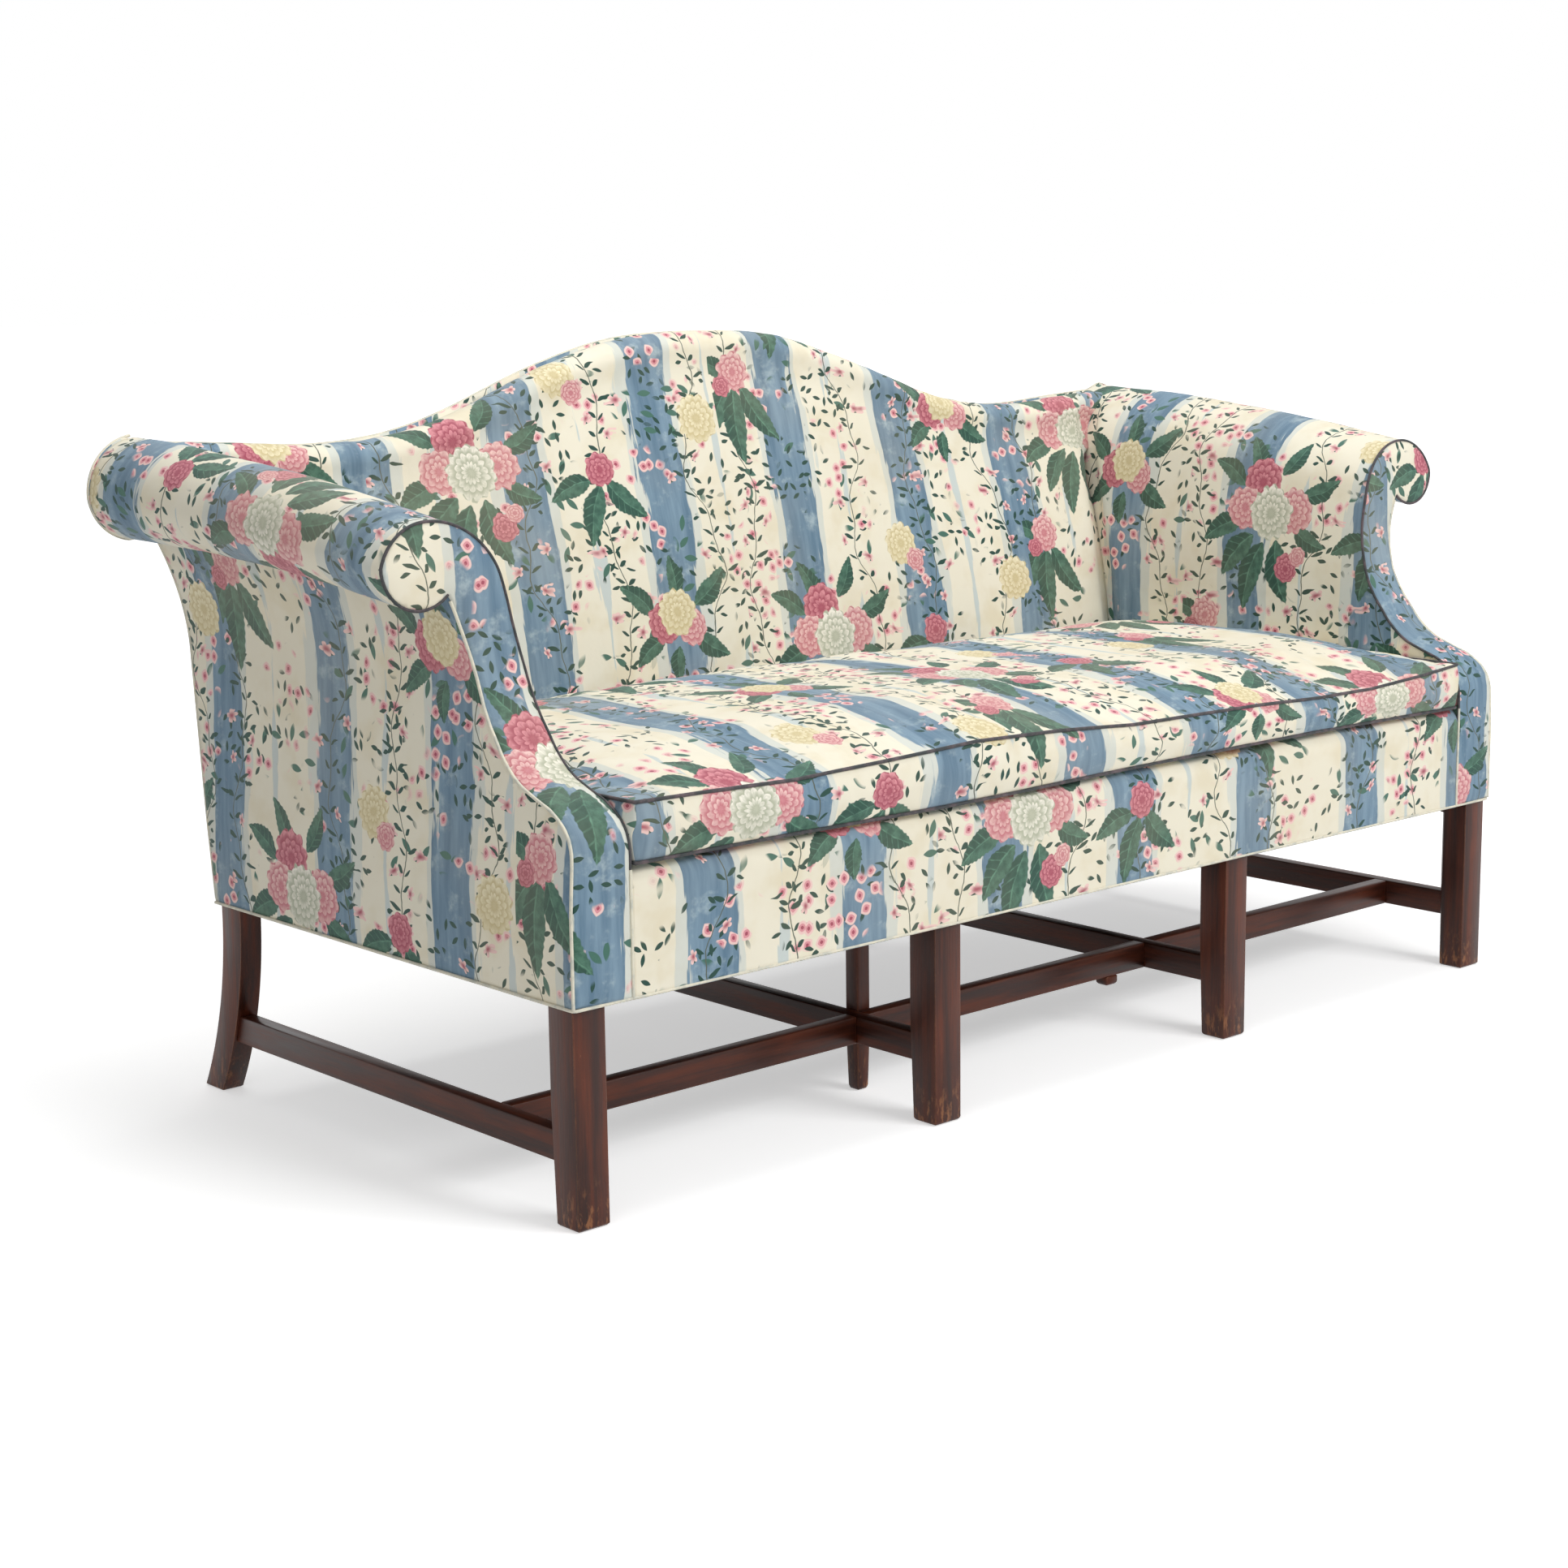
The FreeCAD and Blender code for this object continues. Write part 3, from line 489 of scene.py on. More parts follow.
    def vine_group(self) -> bpy.types.NodeTree:
        """Group that gives a swaying stem with paired leaves and small blossoms along it."""
        tree, g, given, sink = new_group(
            "printed_vine", {"Point": "Vector", "Column": "Float", "Sway": "Float", "Phase": "Float",
                             "Spacing": "Float", "Grain": "Float"},
            {"Stem": "Float", "Leaf": "Float", "Bud": "Float", "Heart": "Float"})
        u, v, _ = g.split(given["Point"])
        wave = g.math("SINE", g.math("ADD", g.math("MULTIPLY", v, 20.944), given["Phase"]))
        small = g.math("SINE", g.math("ADD", g.math("MULTIPLY", v, 62.832), given["Phase"]))
        bend = g.math("ADD", g.math("MULTIPLY", wave, given["Sway"]),
                      g.math("MULTIPLY", small, g.math("MULTIPLY", given["Sway"], 0.28)))
        off = g.math("SUBTRACT", g.math("SUBTRACT", u, given["Column"]), bend)
        stem = g.step(g.math("ABSOLUTE", off), 0.0005, 0.0013, 1.0, 0.0)
        rows = g.math("DIVIDE", v, given["Spacing"])
        cell = g.math("FLOOR", rows)
        part = g.math("MULTIPLY", g.math("SUBTRACT", g.math("FRACT", rows), 0.5), given["Spacing"])
        flip = g.math("SUBTRACT", g.math("MULTIPLY", g.math("FLOORED_MODULO", cell, 2.0), 2.0), 1.0)
        seed = g.math("SINE", g.math("ADD", g.math("MULTIPLY", cell, 12.99), given["Phase"]))
        luck = g.math("FRACT", g.math("MULTIPLY", seed, 4375.85))
        uneven = g.step(given["Grain"], 0.3, 0.7, 1.15, 0.62)
        reach = g.math("MULTIPLY", g.math("MULTIPLY", off, flip), uneven)

        def leaf(start: float, length: float, lean: float, width: float) -> Socket:
            x = g.math("DIVIDE", g.math("SUBTRACT", reach, start), length)
            tilt = g.math("SUBTRACT", part, g.math("MULTIPLY", reach, lean))
            y = g.math("DIVIDE", g.math("ABSOLUTE", tilt), width)
            hump = g.math("MULTIPLY", g.math("MULTIPLY", x, g.math("SUBTRACT", 1.0, x)), 4.0)
            return g.step(g.math("SUBTRACT", hump, y), 0.0, 0.25)
        leaves = g.math("MAXIMUM", leaf(0.001, 0.016, 0.55, 0.0042), leaf(0.012, 0.013, -0.25, 0.0034))
        other = g.math("MULTIPLY", reach, -1.0)
        x2 = g.math("DIVIDE", g.math("SUBTRACT", other, 0.001), 0.012)
        tilt2 = g.math("SUBTRACT", g.math("ADD", part, 0.004), g.math("MULTIPLY", other, 0.8))
        hump2 = g.math("MULTIPLY", g.math("MULTIPLY", x2, g.math("SUBTRACT", 1.0, x2)), 4.0)
        third = g.step(g.math("SUBTRACT", hump2, g.math("DIVIDE", g.math("ABSOLUTE", tilt2), 0.0036)),
                       0.0, 0.25)
        g.feed(sink.inputs["Leaf"], g.math("MAXIMUM", leaves, third))
        bx = g.math("SUBTRACT", reach, 0.021)
        radius = g.math("SQRT", g.math("ADD", g.math("MULTIPLY", bx, bx), g.math("MULTIPLY", part, part)))
        angle = g.math("ARCTAN2", part, bx)
        lobes = g.math("ABSOLUTE", g.math("COSINE", g.math("MULTIPLY", angle, 2.5)))
        size = g.math("ADD", 0.0048, g.math("MULTIPLY", lobes, 0.0052))
        grows = g.step(luck, 0.40, 0.42)
        bud = g.math("MULTIPLY", g.step(g.math("SUBTRACT", size, radius), 0.0, 0.0008), grows)
        g.feed(sink.inputs["Bud"], bud)
        g.feed(sink.inputs["Heart"], g.step(radius, 0.0, 0.0075, 1.0, 0.0))
        g.feed(sink.inputs["Stem"], stem)
        return tree

    def paint(self, g: Graph, point: Socket) -> Socket:
        """Write the whole design into a graph.

        Args:
            g: Graph of the material.
            point: Place on the cloth in metres.

        Returns:
            Colour of the print.
        """
        u, v, _ = g.split(point)
        brush = g.noise(g.combine(g.math("MULTIPLY", u, 55.0), g.math("MULTIPLY", v, 5.0)), 1.0, 4.0, 0.6)
        wash = g.noise(point, 14.0, 3.0, 0.55)
        colour = g.blend(g.step(wash, 0.45, 0.72, 0.0, 0.55), self.cream, self.cream_shade)

        def stripe(offset: float, half: float) -> Socket:
            share = g.math("FRACT", g.math("DIVIDE", g.math("SUBTRACT", u, offset), self.stripe_pitch))
            away = g.math("ABSOLUTE", g.math("MULTIPLY", g.math("SUBTRACT", share, 0.5), self.stripe_pitch))
            wander = g.math("MULTIPLY", g.math("SUBTRACT", g.noise(point, 7.0, 1.0), 0.5), 0.030)
            rough = g.math("MULTIPLY", g.math("SUBTRACT", brush, 0.5), 0.050)
            return g.math("SUBTRACT", half, g.math("ADD", away, g.math("ADD", wander, rough)))
        edge = stripe(0.0, self.stripe_half)
        halo = g.math("MULTIPLY", g.step(stripe(0.0, self.stripe_half + 0.016), 0.0, 0.003), 0.45)
        colour = g.blend(halo, colour, self.blue_pale)
        tone = g.blend(g.step(brush, 0.30, 0.70), self.blue_deep, self.blue)
        tone = g.blend(g.step(g.noise(point, 24.0, 4.0, 0.65), 0.52, 0.75, 0.0, 0.7), tone, self.blue_pale)
        colour = g.blend(g.step(edge, 0.0, 0.0025), colour, tone)
        thin = g.math("MULTIPLY", g.step(stripe(0.115, 0.0035), 0.0, 0.002), 0.7)
        colour = g.blend(thin, colour, self.blue_pale)

        column = g.math("FLOOR", g.math("DIVIDE", u, self.width))
        drop = g.math("MULTIPLY", g.math("FLOORED_MODULO", column, 2.0), self.height / 2)
        across = g.math("FLOORED_MODULO", u, self.width)
        up = g.math("FLOORED_MODULO", g.math("ADD", v, drop), self.height)
        shake = g.node("ShaderNodeTexNoise", noise_dimensions="3D")
        g.feed(shake.inputs["Vector"], point)
        shake.inputs["Scale"].default_value = 45.0
        fine = g.noise(point, 150.0, 3.0)
        coarse = g.noise(point, 90.0, 4.0)
        bold = g.noise(point, 55.0, 2.0)
        broad = g.noise(point, 26.0, 1.0)
        colour, ink = self.scatter(g, point, colour)
        jog = g.vector("SCALE", g.vector("SUBTRACT", shake.outputs["Color"], (0.5, 0.5, 0.5)),
                       scale=g.math("ADD", 0.006, g.math("MULTIPLY", ink, 0.0004)))
        place = g.vector("ADD", g.combine(across, up), jog)
        vine = self.vine_group()
        for start, sway, phase, spacing in ((0.262, 0.020, 0.4, 0.030), (0.030, 0.016, 2.1, 0.0275),
                                            (0.580, 0.022, 4.0, 0.030), (0.400, 0.014, 5.2, 0.025)):
            made = g.node("ShaderNodeGroup", node_tree=vine)
            g.feed(made.inputs["Point"], place)
            g.feed(made.inputs["Grain"], broad)
            for label, value in (("Column", start), ("Sway", sway), ("Phase", phase), ("Spacing", spacing)):
                made.inputs[label].default_value = value
            colour = g.blend(made.outputs["Stem"], colour, self.stem)
            colour = g.blend(made.outputs["Leaf"], colour, self.leaf_dark)
            petal = g.blend(made.outputs["Heart"], BLUSH[1], ROSE[0])
            colour = g.blend(made.outputs["Bud"], colour, petal)

        leaf = self.leaf_group()
        for item in self.leaves:
            made = g.node("ShaderNodeGroup", node_tree=leaf)
            g.feed(made.inputs["Point"], place)
            g.feed(made.inputs["Grain"], coarse)
            turn = math.radians(item.turn)
            ahead = Vector((math.cos(turn), math.sin(turn), 0.0))
            aside = Vector((-math.sin(turn), math.cos(turn), 0.0))
            made.inputs["Base"].default_value = (item.u, item.v, 0.0)
            made.inputs["Along"].default_value = ahead / item.length
            made.inputs["Across"].default_value = aside / item.width
            tone = g.blend(made.outputs["Tone"], self.leaf_dark, self.leaf_light)
            colour = g.blend(made.outputs["Mask"], colour, tone)
        bloom = self.bloom_group()
        for item in self.blooms:
            made = g.node("ShaderNodeGroup", node_tree=bloom)
            g.feed(made.inputs["Point"], place)
            g.feed(made.inputs["Grain"], fine)
            g.feed(made.inputs["Wobble"], bold)
            made.inputs["Centre"].default_value = (item.u, item.v, 0.0)
            made.inputs["Radius"].default_value = item.radius * self.bloom_scale
            made.inputs["Petals"].default_value = item.petals
            petal = g.blend(made.outputs["Shade"], item.dark, item.light)
            colour = g.blend(made.outputs["Mask"], colour, petal)
        return colour

    def scatter(self, g: Graph, point: Socket, colour: Socket) -> tuple[Socket, Socket]:
        """Add loose small leaves and pink petals over part of the ground.

        Args:
            g: Graph of the material.
            point: Place on the cloth in metres.
            colour: Colour below.

        Returns:
            Colour with the sprigs on it, and the share of ink laid.
        """
        ink = 0.0
        for scale, shift, long, wide, paint, low in (
                (30.0, 5.1, 0.0135, 0.0052, self.leaf_mid, 0.54),
                (52.0, 0.0, 0.0085, 0.0033, self.leaf_dark, 0.515),
                (40.0, 6.3, 0.0105, 0.0092, BLUSH[1], 0.535),
                (40.0, 6.3, 0.0068, 0.0056, ROSE[1], 0.535),
                (40.0, 6.3, 0.0030, 0.0025, ROSE[0], 0.535)):
            cells = g.node("ShaderNodeTexVoronoi", voronoi_dimensions="2D", feature="F1")
            g.feed(cells.inputs["Vector"], g.vector("ADD", point, (shift, shift, 0.0)))
            cells.inputs["Scale"].default_value = scale
            cells.inputs["Randomness"].default_value = 0.8
            off = g.vector("SUBTRACT", g.vector("ADD", point, (shift, shift, 0.0)),
                           cells.outputs["Position"])
            hue, luck, _ = g.split(cells.outputs["Color"])
            turn = g.math("MULTIPLY", hue, 6.283)
            sine, cosine = g.math("SINE", turn), g.math("COSINE", turn)
            x = g.math("ABSOLUTE", g.vector("DOT_PRODUCT", off, g.combine(cosine, sine)))
            y = g.math("ABSOLUTE", g.vector("DOT_PRODUCT", off, g.combine(
                g.math("MULTIPLY", sine, -1.0), cosine)))
            x = g.math("DIVIDE", x, long)
            y = g.math("DIVIDE", y, wide)
            shape = g.step(g.math("ADD", g.math("MULTIPLY", x, x), y), 0.85, 1.05, 1.0, 0.0)
            drift = g.noise(g.vector("ADD", point, (shift + 9.0, 0.0, 0.0)), 9.0, 2.0)
            patch = g.step(drift, low, low + 0.04)
            some = g.step(luck, 0.35, 0.37)
            mask = g.math("MULTIPLY", g.math("MULTIPLY", shape, patch), some)
            colour = g.blend(mask, colour, paint)
            ink = g.math("MAXIMUM", ink, mask)
        return colour, ink


def new_material(name: str) -> tuple[bpy.types.Material, Graph, bpy.types.Node]:
    """Start a material.

    Args:
        name: Name of the material.

    Returns:
        The material, a graph on its tree and its surface shader.
    """
    material = bpy.data.materials.new(name)
    material.use_nodes = True
    tree = material.node_tree
    return material, Graph(tree), tree.nodes["Principled BSDF"]


@dataclass(frozen=True)
class PrintedCotton:
    """Glazed cotton with the floral print, read from the UV map in metres."""

    design: FloralPrint = field(default_factory=FloralPrint)
    shift: tuple[float, float] = (0.0, 0.0)

    def make(self, name: str) -> bpy.types.Material:
        """Build the material under a name."""
        material, g, shader = new_material(name)
        uv = g.node("ShaderNodeUVMap", uv_map="cloth").outputs[0]
        point = g.vector("ADD", uv, (self.shift[0], self.shift[1], 0.0))
        colour = self.design.paint(g, point)
        age = g.noise(point, 2.6, 3.0, 0.6)
        colour = g.blend(g.step(age, 0.40, 0.75, 0.0, 0.16), colour, srgb(214, 196, 160))
        g.feed(shader.inputs["Base Color"], colour)
        shader.inputs["Roughness"].default_value = 0.62
        shader.inputs["Sheen Weight"].default_value = 0.12
        shader.inputs["Sheen Roughness"].default_value = 0.5
        shader.inputs["Specular IOR Level"].default_value = 0.3
        thread = self.weave(g, point)
        crease = g.noise(g.vector("MULTIPLY", point, (1.0, 0.6, 1.0)), 22.0, 4.0, 0.6)
        fine = g.node("ShaderNodeBump")
        fine.inputs["Strength"].default_value = 0.25
        fine.inputs["Distance"].default_value = 0.0004
        g.feed(fine.inputs["Height"], thread)
        soft = g.node("ShaderNodeBump")
        soft.inputs["Strength"].default_value = 0.35
        soft.inputs["Distance"].default_value = 0.004
        g.feed(soft.inputs["Height"], crease)
        g.feed(soft.inputs["Normal"], fine.outputs[0])
        g.feed(shader.inputs["Normal"], soft.outputs[0])
        return material

    def weave(self, g: Graph, point: Socket) -> Socket:
        """Height of a plain weave of 0.5 mm threads."""
        u, v, _ = g.split(point)
        warp = g.math("SINE", g.math("MULTIPLY", u, 2 * math.pi / 0.001))
        weft = g.math("SINE", g.math("MULTIPLY", v, 2 * math.pi / 0.001))
        return g.math("MULTIPLY", warp, weft)


@dataclass(frozen=True)
class PlainCotton:
    """Plain cloth of one colour with a weave and some wear."""

    colour: Colour
    worn: Colour
    roughness: float = 0.7

    def make(self, name: str) -> bpy.types.Material:
        """Build the material under a name."""
        material, g, shader = new_material(name)
        place = g.node("ShaderNodeTexCoord").outputs["Object"]
        patch = g.noise(place, 60.0, 4.0, 0.6)
        g.feed(shader.inputs["Base Color"], g.blend(g.step(patch, 0.4, 0.7), self.colour, self.worn))
        shader.inputs["Roughness"].default_value = self.roughness
        shader.inputs["Sheen Weight"].default_value = 0.1
        bump = g.node("ShaderNodeBump")
        bump.inputs["Strength"].default_value = 0.3
        bump.inputs["Distance"].default_value = 0.0006
        g.feed(bump.inputs["Height"], g.noise(place, 900.0, 2.0, 0.5))
        g.feed(shader.inputs["Normal"], bump.outputs[0])
        return material


@dataclass(frozen=True)
class Mahogany:
    """Dark stained wood with a grain, semi-gloss lacquer and lighter worn edges."""

    dark: Colour = srgb(44, 17, 9)
    light: Colour = srgb(98, 44, 22)
    bare: Colour = srgb(158, 104, 66)

    def make(self, name: str, grain: Grain) -> bpy.types.Material:
        """Build the material for one direction of the grain."""
        material, g, shader = new_material(name)
        place = g.node("ShaderNodeTexCoord").outputs["Object"]
        stretched = g.vector("MULTIPLY", place, grain.value)
        figure = g.noise(stretched, 55.0, 5.0, 0.62)
        pores = g.noise(stretched, 420.0, 3.0, 0.5)
        cloud = g.noise(place, 9.0, 3.0, 0.5)
        colour = g.blend(g.step(figure, 0.32, 0.70), self.dark, self.light)
        colour = g.blend(g.step(cloud, 0.35, 0.70, 0.0, 0.5), colour, self.dark)
        bevel = g.node("ShaderNodeBevel", samples=4)
        bevel.inputs["Radius"].default_value = 0.006
        normal = g.node("ShaderNodeNewGeometry").outputs["Normal"]
        bend = g.math("SUBTRACT", 1.0, g.vector("DOT_PRODUCT", bevel.outputs[0], normal))
        patchy = g.math("SUBTRACT", g.noise(place, 75.0, 5.0, 0.7), 0.5)
        rub = g.math("ADD", bend, g.math("MULTIPLY", patchy, 0.42))
        colour = g.blend(g.step(rub, 0.14, 0.34, 0.0, 0.75), colour, self.bare)
        chips = g.noise(place, 190.0, 4.0, 0.7)
        colour = g.blend(g.step(chips, 0.70, 0.76, 0.0, 0.55), colour, self.bare)
        height = g.split(place)[2]
        scuffs = g.noise(g.vector("MULTIPLY", place, (1.0, 1.0, 0.35)), 130.0, 4.0, 0.65)
        low_down = g.step(height, 0.0, 0.075, 1.0, 0.0)
        foot = g.math("MULTIPLY", low_down, g.step(scuffs, 0.50, 0.66, 0.0, 0.75))
        colour = g.blend(foot, colour, self.bare)
        g.feed(shader.inputs["Base Color"], colour)
        g.feed(shader.inputs["Roughness"], g.step(figure, 0.3, 0.7, 0.30, 0.46))
        shader.inputs["Specular IOR Level"].default_value = 0.32
        bump = g.node("ShaderNodeBump")
        bump.inputs["Strength"].default_value = 0.25
        bump.inputs["Distance"].default_value = 0.0008
        g.feed(bump.inputs["Height"], pores)
        g.feed(shader.inputs["Normal"], bump.outputs[0])
        return material


def new_mesh_piece(name: str, points: np.ndarray, faces: Sequence[Sequence[int]],
                   cloth: Optional[np.ndarray] = None) -> bpy.types.Object:
    """Make an object from points in metres.

    Args:
        name: Name of the object.
        points: Points in metres, shape (n, 3).
        faces: Indices of each face, outward by the right-hand rule.
        cloth: Place of each point on its cloth in metres, shape (n, 2).

    Returns:
        The object, linked to the scene.
    """
    mesh = bpy.data.meshes.new(name)
    mesh.from_pydata([tuple(p) for p in points], [], [tuple(f) for f in faces])
    if cloth is not None:
        layer = mesh.uv_layers.new(name="cloth")
        index = np.empty(len(mesh.loops), dtype=np.int64)
        mesh.loops.foreach_get("vertex_index", index)
        layer.data.foreach_set("uv", np.ascontiguousarray(cloth[index], dtype=np.float32).ravel())
    mesh.polygons.foreach_set("use_smooth", [True] * len(mesh.polygons))
    mesh.update()
    made = bpy.data.objects.new(name, mesh)
    bpy.context.scene.collection.objects.link(made)
    return made


def grid_faces(rows: int, columns: int, flip: bool = False) -> list[tuple[int, int, int, int]]:
    """Faces of a grid of points, numbered row by row."""
    faces = []
    for row in range(rows - 1):
        for column in range(columns - 1):
            a = row * columns + column
            quad = (a, a + 1, a + columns + 1, a + columns)
            faces.append(quad[::-1] if flip else quad)
    return faces


def thicken(piece: bpy.types.Object, thickness: float = 0.003) -> None:
    """Give a skin its thickness, inward from its outer face."""
    solid = piece.modifiers.new("thickness", "SOLIDIFY")
    solid.thickness = thickness
    solid.offset = -1.0


def finish_piece(piece: bpy.types.Object, material: bpy.types.Material, body: Body,
                 nodes: Sequence[str] = ()) -> bpy.types.Object:
    """Give a piece its material, body and the nodes that it stands for."""
    piece.data.materials.clear()
    piece.data.materials.append(material)
    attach(piece, body.value)
    if nodes:
        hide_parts(*nodes)
    LOG.info("%s: %d faces", piece.name, len(piece.data.polygons))
    return piece


def finish_padded(piece: bpy.types.Object, material: bpy.types.Material, node: str,
                  thickness: float = 0.003) -> bpy.types.Object:
    thicken(piece, thickness)
    return finish_piece(piece, material, Body.SOFA, [node])


def finish_sheet(piece: bpy.types.Object, material: bpy.types.Material, node: str,
                 thickness: float = 0.0015
                 ) -> bpy.types.Object:
    """Args:
        piece: Cloth as a single skin.
        material: Finish of the cloth.
        node: Name of the node that it replaces.
        thickness: Thickness in metres.

    Returns:
        The finished piece.
    """
    thicken(piece, thickness)
    return finish_piece(piece, material, Body.SOFA, [node])


def fill_outline(outline: np.ndarray, pitch: float) -> tuple[np.ndarray, list[tuple[int, ...]]]:
    """Even triangles inside a flat closed outline.

    Args:
        outline: Corner points in order, shape (n, 2).
        pitch: Spacing of the points inside.

    Returns:
        All points, shape (m, 2), and the triangles, counterclockwise.
    """
    low, high = outline.min(axis=0), outline.max(axis=0)
    rows = int((high[1] - low[1]) / (pitch * 0.866)) + 1
    inner = []
    for row in range(rows):
        v = low[1] + (row + 0.5) * pitch * 0.866
        us = np.arange(low[0] + pitch * (0.25 + 0.5 * (row % 2)), high[0], pitch)
        inner.extend((u, v) for u in us)
    inner = np.array(inner)
    keep = distance_to(outline, inner) > pitch * 0.45
    inside = inside_of(outline, inner)
    inner = inner[keep & inside]
    every = [Vector(p) for p in np.concatenate([outline, inner])]
    count = len(outline)
    edges = [(i, (i + 1) % count) for i in range(count)]
    points, _, faces, *_ = delaunay_2d_cdt(every, edges, [list(range(count))], 1, 1e-7)
    flat = np.array([tuple(p) for p in points])
    result = []
    for face in faces:
        a, b, c = (flat[i] for i in face[:3])
        turn = (b[0] - a[0]) * (c[1] - a[1]) - (b[1] - a[1]) * (c[0] - a[0])
        result.append(tuple(face) if turn > 0 else tuple(face[::-1]))
    return flat, result


def distance_to(outline: np.ndarray, points: np.ndarray) -> np.ndarray:
    """Distance of points from a closed outline."""
    start = outline
    end = np.roll(outline, -1, axis=0)
    run = end - start
    square = np.maximum((run ** 2).sum(axis=1), 1e-12)
    best = np.full(len(points), 1e9)
    for a, d, s in zip(start, run, square):
        share = np.clip(((points - a) @ d) / s, 0, 1)
        best = np.minimum(best, np.hypot(*(points - a - share[:, None] * d).T))
    return best


def inside_of(outline: np.ndarray, points: np.ndarray) -> np.ndarray:
    """Which points lie inside a closed outline."""
    inside = np.zeros(len(points), dtype=bool)
    x, y = points[:, 0], points[:, 1]
    for (ax, ay), (bx, by) in zip(outline, np.roll(outline, -1, axis=0)):
        if ay == by:
            continue
        crosses = (ay > y) != (by > y)
        at = ax + (y - ay) * (bx - ax) / (by - ay)
        inside ^= crosses & (x < at)
    return inside


def resample(line: np.ndarray, pitch: float) -> np.ndarray:
    """Points at an even spacing along a line."""
    run = run_of(line)
    count = max(2, int(round(run[-1] / pitch)) + 1)
    at = np.linspace(0, run[-1], count)
    return np.stack([np.interp(at, run, line[:, i]) for i in range(line.shape[1])], axis=1)


def run_of(line: np.ndarray) -> np.ndarray:
    """Length along a line from its start to each of its points."""
    return np.concatenate([[0], np.cumsum(np.linalg.norm(np.diff(line, axis=0), axis=1))])


def bare_grid(first: np.ndarray, second: np.ndarray, third: np.ndarray) -> np.ndarray:
    """Grid of points whose coordinates are spread over rows and columns."""
    return np.stack(np.broadcast_arrays(first, second, third), axis=-1).astype(float)


def normals_of(grid: np.ndarray) -> np.ndarray:
    """Unit normals of a grid of points, by the right-hand rule of its rows and columns."""
    along_rows = np.gradient(grid, axis=0)
    along_columns = np.gradient(grid, axis=1)
    cross = np.cross(along_columns, along_rows)
    return cross / np.maximum(np.linalg.norm(cross, axis=2, keepdims=True), 1e-9)


@dataclass
class Welts:
    """Fabric-covered cords along the seams, swept by one node tree."""

    radius: float = 0.0021
    sides: int = 8
    pitch: float = 0.006
    tree: Optional[bpy.types.NodeTree] = None

    def build_tree(self) -> bpy.types.NodeTree:
        """Write the tree that sweeps a round cord along edges."""
        tree = bpy.data.node_groups.new("welt_cord", "GeometryNodeTree")
        face = tree.interface
        for label, kind in (("Line", "Geometry"), ("Cord radius", "Float"), ("Step", "Float"),
                            ("Sides", "Int"), ("Finish", "Material")):
            face.new_socket(name=label, in_out="INPUT", socket_type="NodeSocket" + kind)
        face.new_socket(name="Cord", in_out="OUTPUT", socket_type="NodeSocketGeometry")
        source = tree.nodes.new("NodeGroupInput")
        sink = tree.nodes.new("NodeGroupOutput")
        curve = tree.nodes.new("GeometryNodeMeshToCurve")
        even = tree.nodes.new("GeometryNodeResampleCurve")
        even.mode = "LENGTH"
        profile = tree.nodes.new("GeometryNodeCurvePrimitiveCircle")
        sweep = tree.nodes.new("GeometryNodeCurveToMesh")
        smooth = tree.nodes.new("GeometryNodeSetShadeSmooth")
        real = tree.nodes.new("GeometryNodeRealizeInstances")
        dress = tree.nodes.new("GeometryNodeSetMaterial")
        link = tree.links.new
        link(source.outputs["Line"], curve.inputs["Mesh"])
        link(curve.outputs["Curve"], even.inputs["Curve"])
        link(source.outputs["Step"], even.inputs["Length"])
        link(even.outputs["Curve"], sweep.inputs["Curve"])
        link(source.outputs["Sides"], profile.inputs["Resolution"])
        link(source.outputs["Cord radius"], profile.inputs["Radius"])
        link(profile.outputs["Curve"], sweep.inputs["Profile Curve"])
        sweep.inputs["Fill Caps"].default_value = True
        link(sweep.outputs["Mesh"], smooth.inputs["Geometry"])
        link(smooth.outputs["Geometry"], real.inputs["Geometry"])
        link(real.outputs["Geometry"], dress.inputs["Geometry"])
        link(source.outputs["Finish"], dress.inputs["Material"])
        link(dress.outputs["Geometry"], sink.inputs["Cord"])
        return tree

    def run(self, name: str, lines: Sequence[np.ndarray], material: bpy.types.Material, body: Body,
            radius: Optional[float] = None, closed: bool = False) -> bpy.types.Object:
        """Sweep a cord along lines of points in metres.

        Args:
            name: Name of the piece.
            lines: Lines, each of shape (n, 3).
            material: Finish of the cord.
            body: Body that it rides on.
            radius: Radius in metres, or None for the usual one.
            closed: Whether each line joins its own start.

        Returns:
            The finished piece.
        """
        if self.tree is None:
            self.tree = self.build_tree()
        points: list[tuple[float, float, float]] = []
        edges: list[tuple[int, int]] = []
        for line in lines:
            base = len(points)
            points.extend(tuple(p) for p in line)
            edges.extend((base + i, base + i + 1) for i in range(len(line) - 1))
            if closed:
                edges.append((base + len(line) - 1, base))
        mesh = bpy.data.meshes.new(name + "_line")
        mesh.from_pydata(points, edges, [])
        carrier = bpy.data.objects.new(name + "_line", mesh)
        bpy.context.scene.collection.objects.link(carrier)
        modifier = carrier.modifiers.new("cord", "NODES")
        modifier.node_group = self.tree
        values = {"Cord radius": radius or self.radius, "Step": self.pitch, "Sides": self.sides,
                  "Finish": material}
        for item in self.tree.interface.items_tree:
            if item.item_type == "SOCKET" and item.in_out == "INPUT" and item.name in values:
                modifier[item.identifier] = values[item.name]
        carrier.update_tag()
        evaluated = carrier.evaluated_get(bpy.context.evaluated_depsgraph_get())
        swept = bpy.data.meshes.new_from_object(evaluated)
        swept.name = name
        bpy.data.objects.remove(carrier)
        made = bpy.data.objects.new(name, swept)
        bpy.context.scene.collection.objects.link(made)
        return finish_piece(made, material, body)


